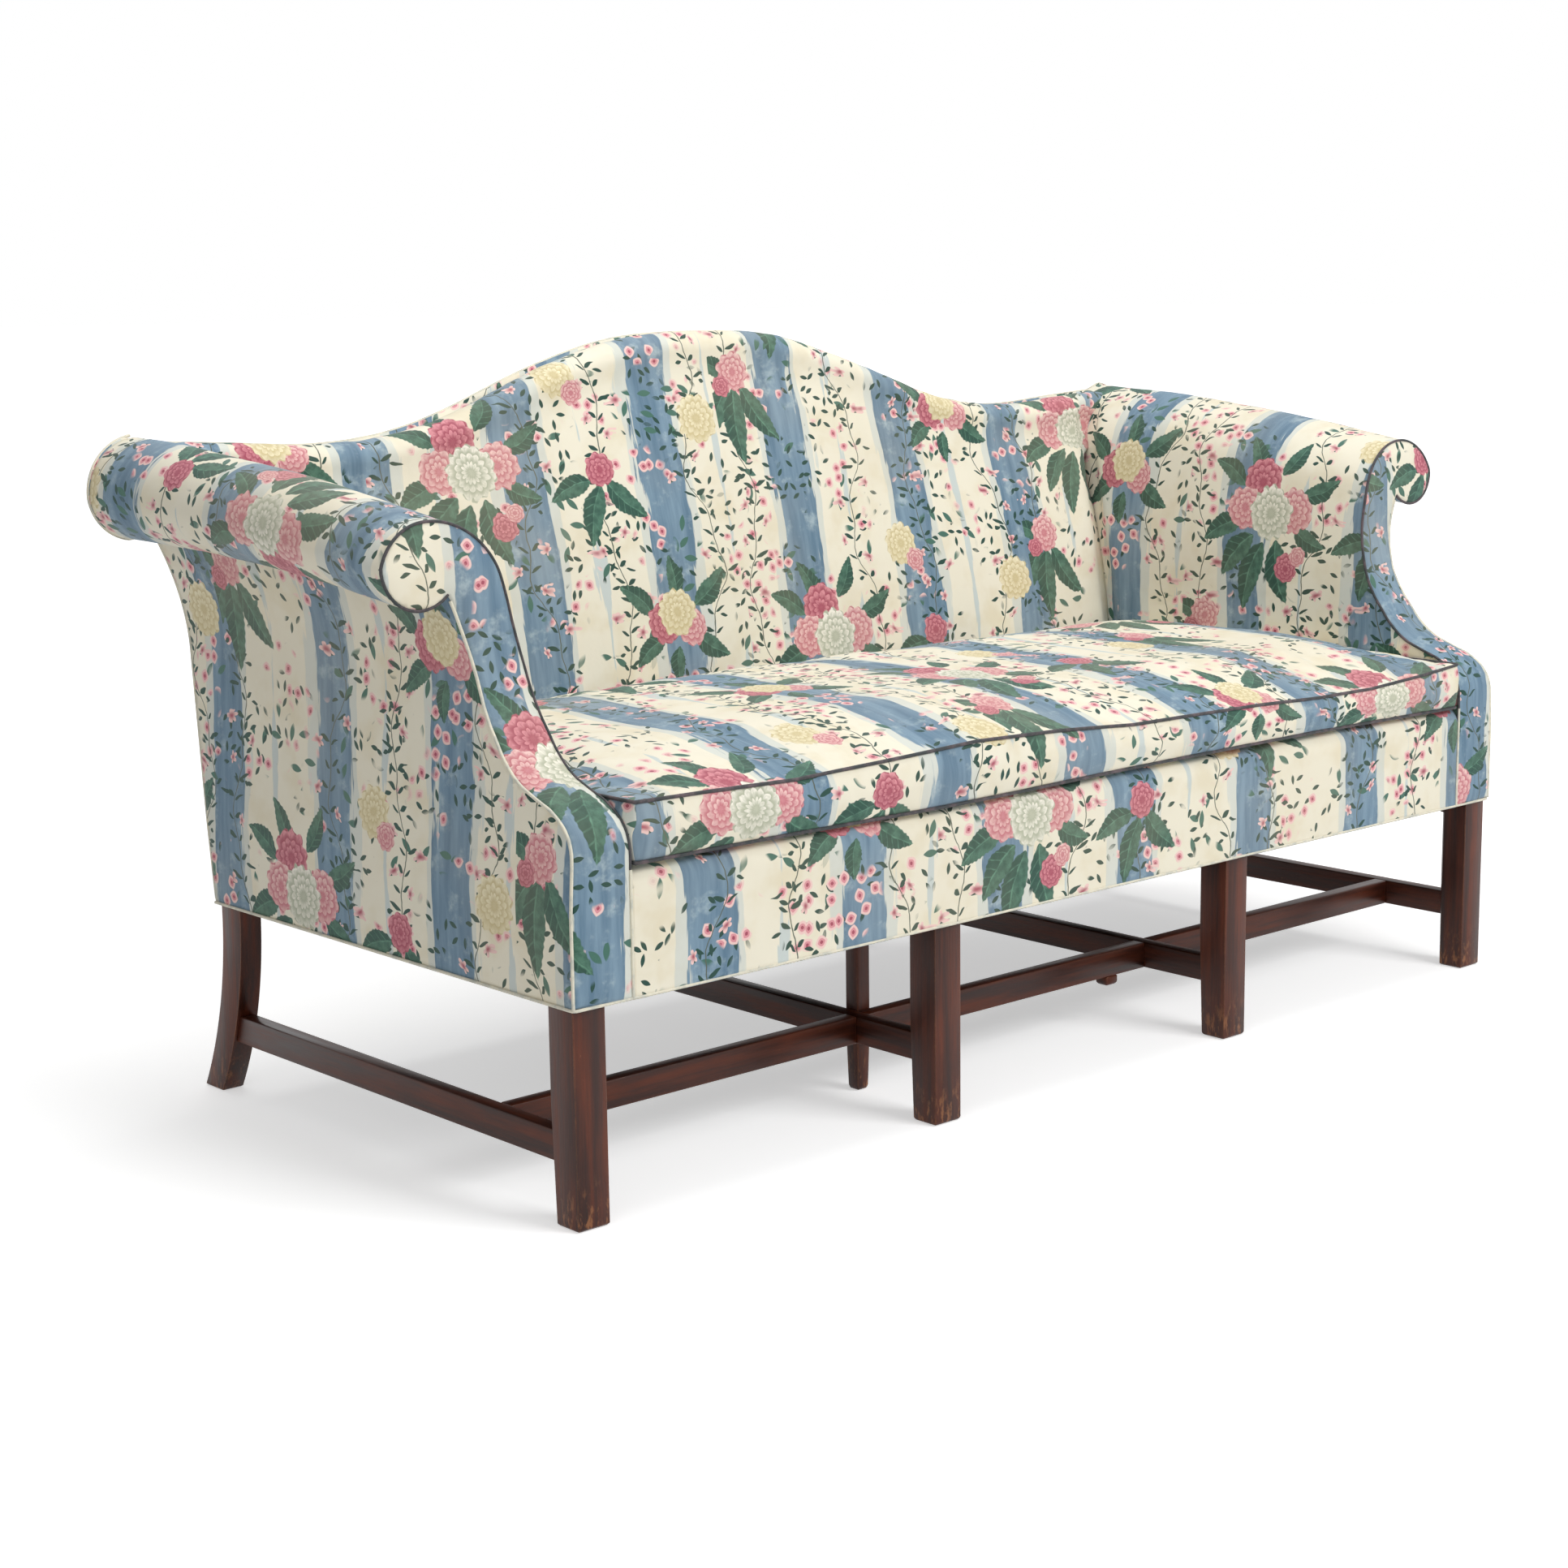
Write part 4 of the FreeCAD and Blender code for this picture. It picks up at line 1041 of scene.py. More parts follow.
@dataclass
class Arm:
    """One upholstered arm: inside skin with its roll, front facing, outside panel and welts."""

    side: Side
    form: Form
    cotton: bpy.types.Material
    pitch: float = 6.5
    columns: int = 104
    crown: float = 5.0

    def name(self) -> str:
        """Ending of the node names of this arm."""
        return "right" if self.side is Side.RIGHT else "left"

    def world(self, points: np.ndarray) -> np.ndarray:
        """Plan points of the right arm, placed on this side, in metres."""
        placed = self.form.place(points)
        placed[..., 0] *= self.side.value
        return placed

    def front_steps(self, start: float = 0.35) -> np.ndarray:
        """Places along the wrap that lie evenly along the front edge."""
        fine = np.linspace(start, 6.0, 1200)
        section = self.form.arm_wrap(fine, np.zeros_like(fine))
        depth = self.form.front(section[:, 1])
        line = np.stack([section[:, 0], depth, section[:, 1]], axis=1)
        run = run_of(line)
        count = int(run[-1] / self.pitch)
        return np.interp(np.linspace(0, run[-1], count), run, fine)

    def skin(self) -> bpy.types.Object:
        """Inside arm: up the inner face, over the roll and down to the notch."""
        form = self.form
        steps = self.front_steps()
        start = form.arm_wrap(steps, np.zeros_like(steps))
        end = form.arm_wrap(steps, np.ones_like(steps))
        columns = self.columns
        share = np.linspace(0, 1, columns)
        near = form.front(start[:, 1]) + 0.5
        far = form.rear(end[:, 1]) - 3.0
        depth = near[:, None] + (far - near)[:, None] * share[None, :]
        along = form.along(depth)
        section = form.arm_wrap(np.repeat(steps[:, None], columns, axis=1), along)
        grid = np.stack([section[..., 0], depth, section[..., 1]], axis=-1)
        normal = normals_of(grid)
        if normal[5, 50, 0] > 0:
            normal = -normal
        flat = grid.reshape(-1, 3)
        soft = ripple(flat, 95.0, 1.0 + self.side.value) * 1.8 + ripple(flat, 34.0, 4.0) * 0.5
        edge = np.minimum(share * 650, 999)[None, :]
        pucker = np.sin(steps * 31.0)[:, None] * np.exp(-edge / 16.0) * np.clip(steps - 1.5, 0, 1)[:, None]
        ease = 1 - np.exp(-edge / 10.0)
        lift = soft.reshape(len(steps), columns) * ease + pucker * 0.9 - (1 - ease) * 1.5
        grid = grid + normal * lift[..., None]
        crest = form.crest(np.full_like(section[..., 0], 824.0))
        gap = form.back_face(section[..., 1], crest) - depth
        below = np.clip((880 - section[..., 1]) / 40, 0, 1) * (steps[:, None] < 2.6)
        tuck = np.clip(1 - gap / 26.0, 0, 1) ** 2 * 14.0 * below
        grid[..., 0] += tuck
        cloth_v = run_of(end)
        front_v = run_of(start)
        v = front_v[:, None] + (cloth_v - front_v)[:, None] * share[None, :]
        offset = 1.83 if self.side is Side.RIGHT else 0.37
        cloth = np.stack([depth * -self.side.value / METRE + offset, v / METRE + 0.02], axis=-1)
        faces = grid_faces(len(steps), columns, flip=self.side is Side.RIGHT)
        piece = new_mesh_piece("arm_skin_" + self.name(), self.world(grid).reshape(-1, 3), faces,
                               cloth.reshape(-1, 2))
        return finish_padded(piece, self.cotton, "inside_arm_" + self.name())

    def face_outline(self) -> np.ndarray:
        """Outline of the facing, in X and height."""
        form = self.form
        steps = np.concatenate([np.linspace(0, 1, 60), np.linspace(1, 6, 170)[1:]])
        inner = form.arm_wrap(steps, np.zeros_like(steps))
        heights = np.linspace(736, form.hem, 90)
        outer = np.stack([form.arm_outside(heights, np.full(90, 100.0)), heights], axis=1)
        return np.concatenate([inner, outer[1:]])

    def facing(self) -> bpy.types.Object:
        """Front facing: a slightly crowned panel that follows the S curve and the scroll."""
        form = self.form
        outline = self.face_outline()
        line = np.array(form.facing_line, dtype=float)
        run = run_of(line)
        tall = np.interp(outline[:, 1], line[:, 1], run)
        flat_outline = resample(np.stack([outline[:, 0], tall], axis=1), 5.0)[:-1]
        points, faces = fill_outline(flat_outline, 6.0)
        height = np.interp(points[:, 1], run, line[:, 1])
        depth = np.interp(points[:, 1], run, line[:, 0])
        slope = np.gradient(line[:, 1], run)
        rise = np.interp(points[:, 1], run, slope)
        away = distance_to(flat_outline, points)
        crown = self.crown * (1 - np.exp(-away / 11.0))
        solid = np.stack([points[:, 0], depth, height], axis=1)
        crown += ripple(solid, 60.0, 7.0 + self.side.value) * 0.8 * np.clip(away / 15, 0, 1)
        solid[:, 1] -= crown * rise
        solid[:, 2] += crown * np.sqrt(np.clip(1 - rise ** 2, 0, 1))
        offset = 0.04 if self.side is Side.RIGHT else 1.005
        cloth = np.stack([points[:, 0] * self.side.value / METRE + offset, points[:, 1] / METRE], axis=1)
        if self.side is Side.LEFT:
            faces = [tuple(reversed(face)) for face in faces]
        piece = new_mesh_piece("arm_facing_skin_" + self.name(), self.world(solid), faces, cloth)
        return finish_padded(piece, self.cotton, "arm_facing_" + self.name())

    def outside(self) -> bpy.types.Object:
        """Outside panel between the facing, the roll, the hem and the back."""
        form = self.form
        heights = np.linspace(form.hem, 737, 70)
        front = np.stack([form.front(heights) + 1.0, heights], axis=1)
        runs = np.linspace(0, 1, 80)
        notch = form.arm_keys(runs)["notch"]
        top = np.stack([form.scroll_depth + runs * form.arm_run, notch[:, 1] + 2.0], axis=1)
        top = top[top[:, 0] < form.rear(top[:, 1]) - 2.0]
        down = np.linspace(top[-1, 1], form.hem, 60)
        rear = np.stack([form.rear(down) - 1.0, down], axis=1)
        bottom = np.stack([np.linspace(rear[-1, 0], front[0, 0], 120), np.full(120, form.hem)], axis=1)
        outline = np.concatenate([front, top[1:], rear, bottom[1:-1]])
        outline = resample(outline, 7.0)
        points, faces = fill_outline(outline, 9.0)
        x = form.arm_outside(points[:, 1], points[:, 0])
        solid = np.stack([x, points[:, 0], points[:, 1]], axis=1)
        away = distance_to(outline, points)
        solid[:, 0] += ripple(solid, 150.0, 11.0 + self.side.value) * 1.6 * np.clip(away / 40, 0, 1)
        solid[:, 0] += 2.0 * (1 - np.exp(-away / 30.0)) - 0.5
        offset = 0.55 if self.side is Side.RIGHT else 0.10
        cloth = np.stack([points[:, 0] * self.side.value / METRE + offset,
                          points[:, 1] / METRE + 0.33], axis=1)
        if self.side is Side.LEFT:
            faces = [tuple(reversed(face)) for face in faces]
        piece = new_mesh_piece("arm_outside_skin_" + self.name(), self.world(solid), faces, cloth)
        carriers = ("side_rail_" + self.name(), "arm_post_" + self.name())
        return finish_sheet(piece, self.cotton, "outside_arm_cover_" + self.name())

    def inner_edge(self) -> np.ndarray:
        """Seam between the facing and the inside arm, from the seat round the scroll to the notch."""
        form = self.form
        steps = self.front_steps(0.02)
        section = form.arm_wrap(steps, np.zeros_like(steps))
        return np.stack([section[:, 0], form.front(section[:, 1]), section[:, 1]], axis=1)

    def outer_edge(self) -> np.ndarray:
        """Seam between the facing and the outside panel."""
        form = self.form
        line = np.array(form.facing_line, dtype=float)
        line = resample(line[(line[:, 1] < 738)], 6.0)
        line = line[line[:, 1] >= form.hem]
        x = form.arm_outside(line[:, 1], np.full(len(line), 100.0))
        return np.stack([x + 0.5, line[:, 0] + 0.5, line[:, 1]], axis=1)

    def build(self, welts: Welts, dark: bpy.types.Material, pale: bpy.types.Material) -> None:
        """Build every piece of the arm."""
        self.skin()
        self.facing()
        self.outside()
        name = self.name()
        welts.run("facing_welt_" + name, [self.world(self.inner_edge())], dark, Body.SOFA)
        welts.run("arm_edge_welt_" + name, [self.world(self.outer_edge())], pale, Body.SOFA)


@dataclass
class Back:
    """Tight inside back with its rolled serpentine crest, and the flat panel behind it."""

    form: Form
    cotton: bpy.types.Material
    half_grid: float = 948.0
    columns: int = 244
    rows: int = 66
    turn_rows: int = 18
    low_reach: float = 838.0
    high_reach: float = 942.0

    def inside(self) -> bpy.types.Object:
        """Inside back: up the face, round the roll of the crest and down to the rear seam."""
        form = self.form
        across = np.linspace(-self.half_grid, self.half_grid, self.columns)
        crest = form.crest(across)
        rows = self.rows
        radius = form.crest_radius
        middle_z = crest - radius
        middle_y = form.rear(middle_z) - 4.0 - radius
        share = np.linspace(0, 1, rows)
        start_z = np.full_like(crest, 400.0)
        height = start_z[None, :] + (middle_z - start_z)[None, :] * share[:, None]
        face = form.back_face(height, crest[None, :])
        join = (middle_y - radius)[None, :]
        ease = np.clip((share[:, None] - 0.86) / 0.14, 0, 1) ** 2
        face = face * (1 - ease) + join * ease
        angle = np.radians(np.linspace(180, -12, self.turn_rows))[1:]
        roll_y = middle_y[None, :] + radius * np.cos(angle)[:, None]
        roll_z = middle_z[None, :] + radius * np.sin(angle)[:, None]
        depth = np.concatenate([face, roll_y])
        tall = np.concatenate([height, roll_z])
        climb = np.clip((tall - 770.0) / 80.0, 0, 1)
        widen = self.high_reach - self.low_reach
        reach = self.low_reach + widen * climb * climb * (3 - 2 * climb)
        wide = across[None, :] / self.half_grid * reach
        tall = tall - 0.0045 * np.clip(np.abs(wide) - 895.0, 0, None) ** 2
        inner = form.arm_inside(tall, form.along(depth))
        gap = inner - np.abs(wide)
        low = np.clip((890 - tall) / 50, 0, 1)
        tuck = np.clip(1 - gap / 28.0, 0, 1) ** 2 * 16.0 * low
        depth = depth + tuck
        grid = np.stack([wide, depth, tall], axis=-1)
        flat = grid.reshape(-1, 3)
        soft = ripple(flat, 170.0, 21.0) * 2.6 + ripple(flat, 60.0, 22.0) * 0.7
        pull = ripple(flat * np.array([1.0, 0.2, 0.25]), 26.0, 23.0) * 0.9
        shape = grid.shape[:2]
        crest_near = np.exp(-((tall - crest[None, :] + 20) / 55.0) ** 2)
        soft = soft.reshape(shape) * 0.8 + pull.reshape(shape) * (0.35 + crest_near)
        normal = normals_of(grid)
        if normal[10, 120, 1] > 0:
            normal = -normal
        grid = grid + normal * soft[..., None]
        steps = np.linalg.norm(np.diff(np.stack([depth, tall], -1), axis=0), axis=2)
        v = np.concatenate([np.zeros((1, shape[1])), np.cumsum(steps, axis=0)])
        v = v - v[rows - 1][None, :] + middle_z[None, :]
        cloth = np.stack([wide / METRE + 1.28, v / METRE - 0.18], axis=-1)
        faces = grid_faces(*shape)
        piece = new_mesh_piece("back_skin", form.place(grid).reshape(-1, 3), faces, cloth.reshape(-1, 2))
        return finish_padded(piece, self.cotton, "inside_back")

    def rear_outline(self) -> np.ndarray:
        """Outline of the rear panel in X and height."""
        form = self.form
        ones = np.ones(100)
        wrap = form.arm_wrap(np.linspace(3.05, 6.0, 100), ones)
        across = np.linspace(-930, 930, 260)
        top = np.stack([across, form.crest(across) - 2.0], axis=1)
        drop = np.linspace(782, form.hem, 60)
        side = np.stack([form.arm_outside(drop, np.full(60, 860.0)) - 2.0, drop], axis=1)
        right = np.concatenate([wrap, side])
        left = right[::-1] * np.array([-1.0, 1.0])
        hem = np.stack([np.linspace(right[-1, 0], left[0, 0], 200), np.full(200, form.hem)], axis=1)
        return np.concatenate([top, right, hem[1:-1], left])

    def outside(self) -> bpy.types.Object:
        """Flat panel over the whole rear of the sofa."""
        form = self.form
        outline = resample(self.rear_outline(), 10.0)[:-1]
        points, faces = fill_outline(outline, 16.0)
        away = distance_to(outline, points)
        solid = np.stack([points[:, 0], form.rear(points[:, 1]), points[:, 1]], axis=1)
        solid[:, 1] += ripple(solid, 220.0, 31.0) * 2.0 * np.clip(away / 50, 0, 1)
        solid[:, 1] += 1.5 * (1 - np.exp(-away / 40.0)) - 0.8
        cloth = np.stack([-points[:, 0] / METRE + 1.15, points[:, 1] / METRE + 0.12], axis=1)
        faces = [tuple(reversed(face)) for face in faces]
        piece = new_mesh_piece("back_outside_skin", form.place(solid), faces, cloth)
        return finish_sheet(piece, self.cotton, "outside_back_cover")

    def build(self, welts: Welts, pale: bpy.types.Material) -> None:
        """Build the back and its rear seam."""
        self.inside()
        self.outside()
        outline = resample(self.rear_outline(), 8.0)
        ring = np.stack([outline[:, 0], self.form.rear(outline[:, 1]), outline[:, 1]], axis=1)
        welts.run("rear_welt", [self.form.place(ring)], pale, Body.SOFA, radius=0.0022)


@dataclass
class SeatFront:
    """Front border with its padded lip, and the deck cloth under the loose cushion."""

    form: Form
    cotton: bpy.types.Material
    lining: bpy.types.Material

    def border(self) -> bpy.types.Object:
        """Border: flat above the hem, rounding over to the deck."""
        form = self.form
        lip = arc_points(np.array([[form.pad_front, 398.0]] * 14), 90, np.array([[16.0, 424.0]] * 14),
                         np.linspace(0, 1, 14))
        face = np.stack([np.full(20, form.pad_front), np.linspace(form.hem, 398, 20)], axis=1)
        back = np.stack([np.linspace(16, 60, 8), np.full(8, 424.0)], axis=1)
        profile = np.concatenate([face, lip[1:], back[1:]])
        across = np.linspace(-form.inner_arm, form.inner_arm, 250)
        run = run_of(profile)
        grid = bare_grid(across[None, :], profile[:, 0][:, None], profile[:, 1][:, None])
        flat = grid.reshape(-1, 3)
        soft = (ripple(flat, 120.0, 41.0) * 1.5 + ripple(flat * np.array([1, 1, 0.3]), 40.0, 42.0) * 0.6)
        soft = soft.reshape(grid.shape[:2]) * np.clip(run / 25, 0, 1)[:, None]
        grid[..., 1] -= soft + 1.0
        tall = np.repeat(run[:, None], len(across), 1)
        cloth = np.stack([grid[..., 0] / METRE + 1.60, tall / METRE + 0.22], -1)
        piece = new_mesh_piece("front_border_skin", form.place(grid).reshape(-1, 3),
                               grid_faces(*grid.shape[:2]), cloth.reshape(-1, 2))
        return finish_padded(piece, self.cotton, "front_border", thickness=0.0025)

    def deck(self) -> bpy.types.Object:
        """Plain cloth over the springs, under the cushion."""
        form = self.form
        across = np.linspace(-form.inner_arm, form.inner_arm, 120)
        depth = np.linspace(52, 712, 50)
        grid = bare_grid(across[None, :], depth[:, None], np.array([[form.deck_top - 1.5]]))
        wave = np.cos(2 * np.pi * (across[None, :] - 132.5) / 265)
        wave = wave + np.cos(2 * np.pi * (depth[:, None] - 190) / 190)
        grid[..., 2] += wave * 0.5 - 1.0
        piece = new_mesh_piece("deck_cloth", form.place(grid).reshape(-1, 3), grid_faces(*grid.shape[:2]))
        return finish_padded(piece, self.lining, "seat_deck", 0.0025)

    def build(self, welts: Welts, pale: bpy.types.Material) -> None:
        """Build the border, the deck and the cord along the hem."""
        self.border()
        self.deck()
        form = self.form
        x = form.arm_outside(np.array([form.hem]), np.array([300.0]))[0] + 0.5
        rear = float(form.rear(np.array(form.hem)))
        corners = np.array([[-x, rear], [-x, form.pad_front], [x, form.pad_front], [x, rear]])
        ring = resample(corners, 6.0)
        line = np.stack([ring[:, 0], ring[:, 1], np.full(len(ring), form.hem + 2.0)], axis=1)
        back = np.stack([np.linspace(x, -x, 300), np.full(300, rear), np.full(300, form.hem + 2.0)], axis=1)
        welts.run("hem_welt", [form.place(line), form.place(back)], pale, Body.SOFA)
        edge = np.stack([np.full(40, form.inner_arm), np.full(40, form.pad_front - 1.0),
                         np.linspace(form.hem + 2, 424, 40)], axis=1)
        mirror = edge * np.array([-1.0, 1.0, 1.0])
        pair = [form.place(edge), form.place(mirror)]
        welts.run("border_side_welts", pair, pale, Body.SOFA, radius=0.002)


@dataclass
class Cushion:
    """Loose bench cushion: panels and boxing filled by a cloth simulation, with corded seams."""

    form: Form
    cotton: bpy.types.Material
    half: float = 817.0
    front: float = -8.0
    back: float = 690.0
    base: float = 427.0
    across: int = 200
    deep: int = 76
    rows: int = 8
    frames: int = 20
    reach: float = 0.024
    bulge: float = 6.5
    welt: float = 0.0024

    def top_seam(self, x: np.ndarray) -> np.ndarray:
        """Height of the upper front seam along the cushion, with its dips."""
        marks = np.array([-819, -700, -560, -420, -250, -90, 60, 200, 330, 470, 600, 720, 819], dtype=float)
        heights = np.array([503, 500, 495, 499, 505, 499, 489, 488, 486, 480, 479, 486, 494], dtype=float)
        return np.interp(x, marks, heights)

    def low_seam(self, x: np.ndarray) -> np.ndarray:
        """Height of the lower front seam along the cushion."""
        return 428.5 + 2.0 * np.sin(x / 190.0)

    def shell(self) -> tuple[np.ndarray, list[tuple[int, ...]], np.ndarray, np.ndarray]:
        """Closed starting form of the cushion.

        Returns:
            Points, faces, cloth place of each face corner, and which points lie on a seam.
        """
        nx, ny, rows = self.across, self.deep, self.rows
        xs = np.linspace(-self.half, self.half, nx)
        ys = np.linspace(self.front, self.back, ny)
        gx, gy = np.meshgrid(xs, ys)
        inset = 4.0 * (np.abs(gx) / self.half) ** 8
        depth_share = (gy - self.front) / (self.back - self.front)
        bow = 5.0 * np.sin(np.pi * (gx + self.half) / (2 * self.half) * 3.0) ** 2 * (1 - depth_share) ** 6
        edge_x = 1 - np.abs(gx / self.half) ** 6
        edge_y = 1 - np.abs(2 * depth_share - 1) ** 5
        front_top = self.top_seam(gx)
        rear_top = 497.0
        seam = front_top + (rear_top - front_top) * depth_share
        swell = np.clip(edge_x, 0, 1) ** 0.7 * np.clip(edge_y, 0, 1) ** 0.7
        top = np.stack([gx * (1 - inset / 8000), gy + bow, seam + 20.0 * swell], axis=-1)
        low = np.stack([gx * (1 - inset / 8000), gy + bow * 0.6 + 1.0, self.low_seam(gx)], axis=-1)
        ring = [(0, i) for i in range(nx)] + [(j, nx - 1) for j in range(1, ny)]
        ring += [(ny - 1, i) for i in range(nx - 2, -1, -1)] + [(j, 0) for j in range(ny - 2, 0, -1)]
        count = nx * ny
        points = [top.reshape(-1, 3), low.reshape(-1, 3)]
        index_top = np.arange(count).reshape(ny, nx)
        index_low = index_top + count
        rim_top = np.array([index_top[r] for r in ring])
        rim_low = np.array([index_low[r] for r in ring])
        stack = [rim_low]
        everything = np.concatenate(points)
        centre = np.array([0.0, (self.front + self.back) / 2, 0.0])
        for row in range(1, rows):
            share = row / rows
            band = everything[rim_low] * (1 - share) + everything[rim_top] * share
            out = band - centre
            out[:, 2] = 0
            gap_x = self.half - np.abs(out[:, 0])
            gap_y = (self.back - self.front) / 2 - np.abs(out[:, 1])
            push = np.where((gap_x < gap_y)[:, None], out * [1, 0, 0], out * [0, 1, 0])
            push /= np.maximum(np.linalg.norm(push, axis=1, keepdims=True), 1e-6)
            band = band + push * self.bulge * math.sin(math.pi * share)
            stack.append(np.arange(len(band)) + sum(len(p) for p in points))
            points.append(band)
        stack.append(rim_top)
        everything = np.concatenate(points)
        faces: list[tuple[int, ...]] = []
        cloth: list[tuple[float, float]] = []

        def corner(index: int) -> tuple[float, float]:
            x, y, _ = everything[index]
            return (x / METRE + 1.45, y / METRE + 0.08)
        for grid, flip in ((index_top, False), (index_low, True)):
            for j in range(ny - 1):
                for i in range(nx - 1):
                    quad = (grid[j, i], grid[j, i + 1], grid[j + 1, i + 1], grid[j + 1, i])
                    quad = tuple(int(q) for q in (quad[::-1] if flip else quad))
                    faces.append(quad)
                    cloth.extend(corner(q) for q in quad)
        ends = everything[rim_top]
        steps = np.linalg.norm(np.roll(ends, -1, axis=0) - ends, axis=1)
        run = np.concatenate([[0], np.cumsum(steps)])
        total = len(ring)
        for row in range(rows):
            for i in range(total):
                j = (i + 1) % total
                quad = (stack[row][i], stack[row][j], stack[row + 1][j], stack[row + 1][i])
                faces.append(tuple(int(q) for q in quad))
                for column, level in ((i, row), (i + 1, row), (i + 1, row + 1), (i, row + 1)):
                    cloth.append((run[column] / METRE + 1.45 - self.half / METRE,
                                  0.075 + (level - rows) * 0.0095))
        seams = np.zeros(len(everything), dtype=bool)
        seams[rim_top] = True
        seams[rim_low] = True
        return everything, faces, np.array(cloth), seams

    def fill(self, piece: bpy.types.Object, seams: np.ndarray, start: np.ndarray) -> None:
        """Blow the cushion up with cloth, held along its seams, and keep the result."""
        group = piece.vertex_groups.new(name="seams")
        group.add([int(i) for i in np.nonzero(seams)[0]], 1.0, "REPLACE")
        cloth = piece.modifiers.new("filling", "CLOTH")
        settings = cloth.settings
        settings.quality = 6
        settings.mass = 0.25
        settings.tension_stiffness = 22
        settings.compression_stiffness = 18
        settings.shear_stiffness = 8
        settings.bending_stiffness = 0.6
        settings.use_pressure = True
        settings.uniform_pressure_force = 3.0
        settings.shrink_min = -0.012
        settings.vertex_group_mass = "seams"
        settings.effector_weights.gravity = 0.0
        cloth.collision_settings.use_collision = False
        cloth.point_cache.frame_start = 1
        cloth.point_cache.frame_end = self.frames + 2
        scene = bpy.context.scene
        for frame in range(1, self.frames + 1):
            scene.frame_set(frame)
        evaluated = piece.evaluated_get(bpy.context.evaluated_depsgraph_get())
        moved = np.array([tuple(v.co) for v in evaluated.data.vertices])
        piece.modifiers.remove(cloth)
        scene.frame_set(1)
        step = moved - start
        length = np.linalg.norm(step, axis=1, keepdims=True)
        step *= np.minimum(1.0, self.reach / np.maximum(length, 1e-9))
        final = start + step
        floor = (self.form.deck_top + 1.2) / METRE
        final[:, 2] = np.maximum(final[:, 2], floor)
        limit_x = (self.form.inner_arm - 1.0) / METRE
        final[:, 0] = np.clip(final[:, 0], -limit_x, limit_x)
        limit_y = (697.0 - self.form.depth_centre) / METRE
        final[:, 1] = np.minimum(final[:, 1], limit_y)
        final += self.puckers(final, seams)
        piece.data.vertices.foreach_set("co", final.ravel())
        piece.data.update()

    def puckers(self, points: np.ndarray, seams: np.ndarray) -> np.ndarray:
        """Small gathers that run in from the corded seams, and the sag of a used filling.

        Args:
            points: Points of the filled cushion in metres.
            seams: Which points lie on a seam.

        Returns:
            Movement of each point in metres.
        """
        millimetres = points * METRE
        top = millimetres[:, 2] > 462.0
        from_front = np.abs(millimetres[:, 1] + self.form.depth_centre - self.front)
        from_end = self.half - np.abs(millimetres[:, 0])
        near = np.exp(-np.minimum(from_front, from_end) / 38.0)
        gathers = ripple(millimetres * np.array([1.0, 0.12, 0.12]), 21.0, 51.0)
        dents = ripple(millimetres * np.array([1.0, 1.0, 0.2]), 150.0, 52.0)
        fine = ripple(millimetres * np.array([1.0, 0.6, 0.3]), 48.0, 53.0)
        lift = np.where(top, near * gathers * 2.6 + dents * 3.6 + fine * 1.2, 0.0) / METRE
        boxing = (from_front < 14.0) & ~seams
        move = np.zeros_like(points)
        move[:, 2] = np.where(seams, 0.0, lift)
        move[:, 1] = np.where(boxing, gathers * 1.8 / METRE, 0.0)
        move[:, 1] += np.where(boxing & ~top, fine * 0.9 / METRE, 0.0)
        return move

    def build(self, welts: Welts, dark: bpy.types.Material) -> None:
        """Build the filled cushion and its two corded seams."""
        points, faces, cloth, seams = self.shell()
        placed = self.form.place(points)
        piece = new_mesh_piece("cushion_cover", placed, faces)
        layer = piece.data.uv_layers.new(name="cloth")
        layer.data.foreach_set("uv", cloth.astype(np.float32).ravel())
        self.fill(piece, seams, placed)
        smooth = piece.modifiers.new("smoothing", "SUBSURF")
        smooth.levels = 1
        smooth.render_levels = 1
        finish_piece(piece, self.cotton, Body.CUSHION, ["seat_cushion"])
        shape = np.array([tuple(v.co) for v in piece.data.vertices])
        nx, ny = self.across, self.deep
        for label, base in (("top", 0), ("low", nx * ny)):
            index = np.arange(nx * ny).reshape(ny, nx) + base
            ring = np.concatenate([index[0], index[1:, -1], index[-1, -2::-1], index[-2:0:-1, 0]])
            welts.run("cushion_welt_" + label, [shape[ring]], dark, Body.CUSHION, self.welt, True)


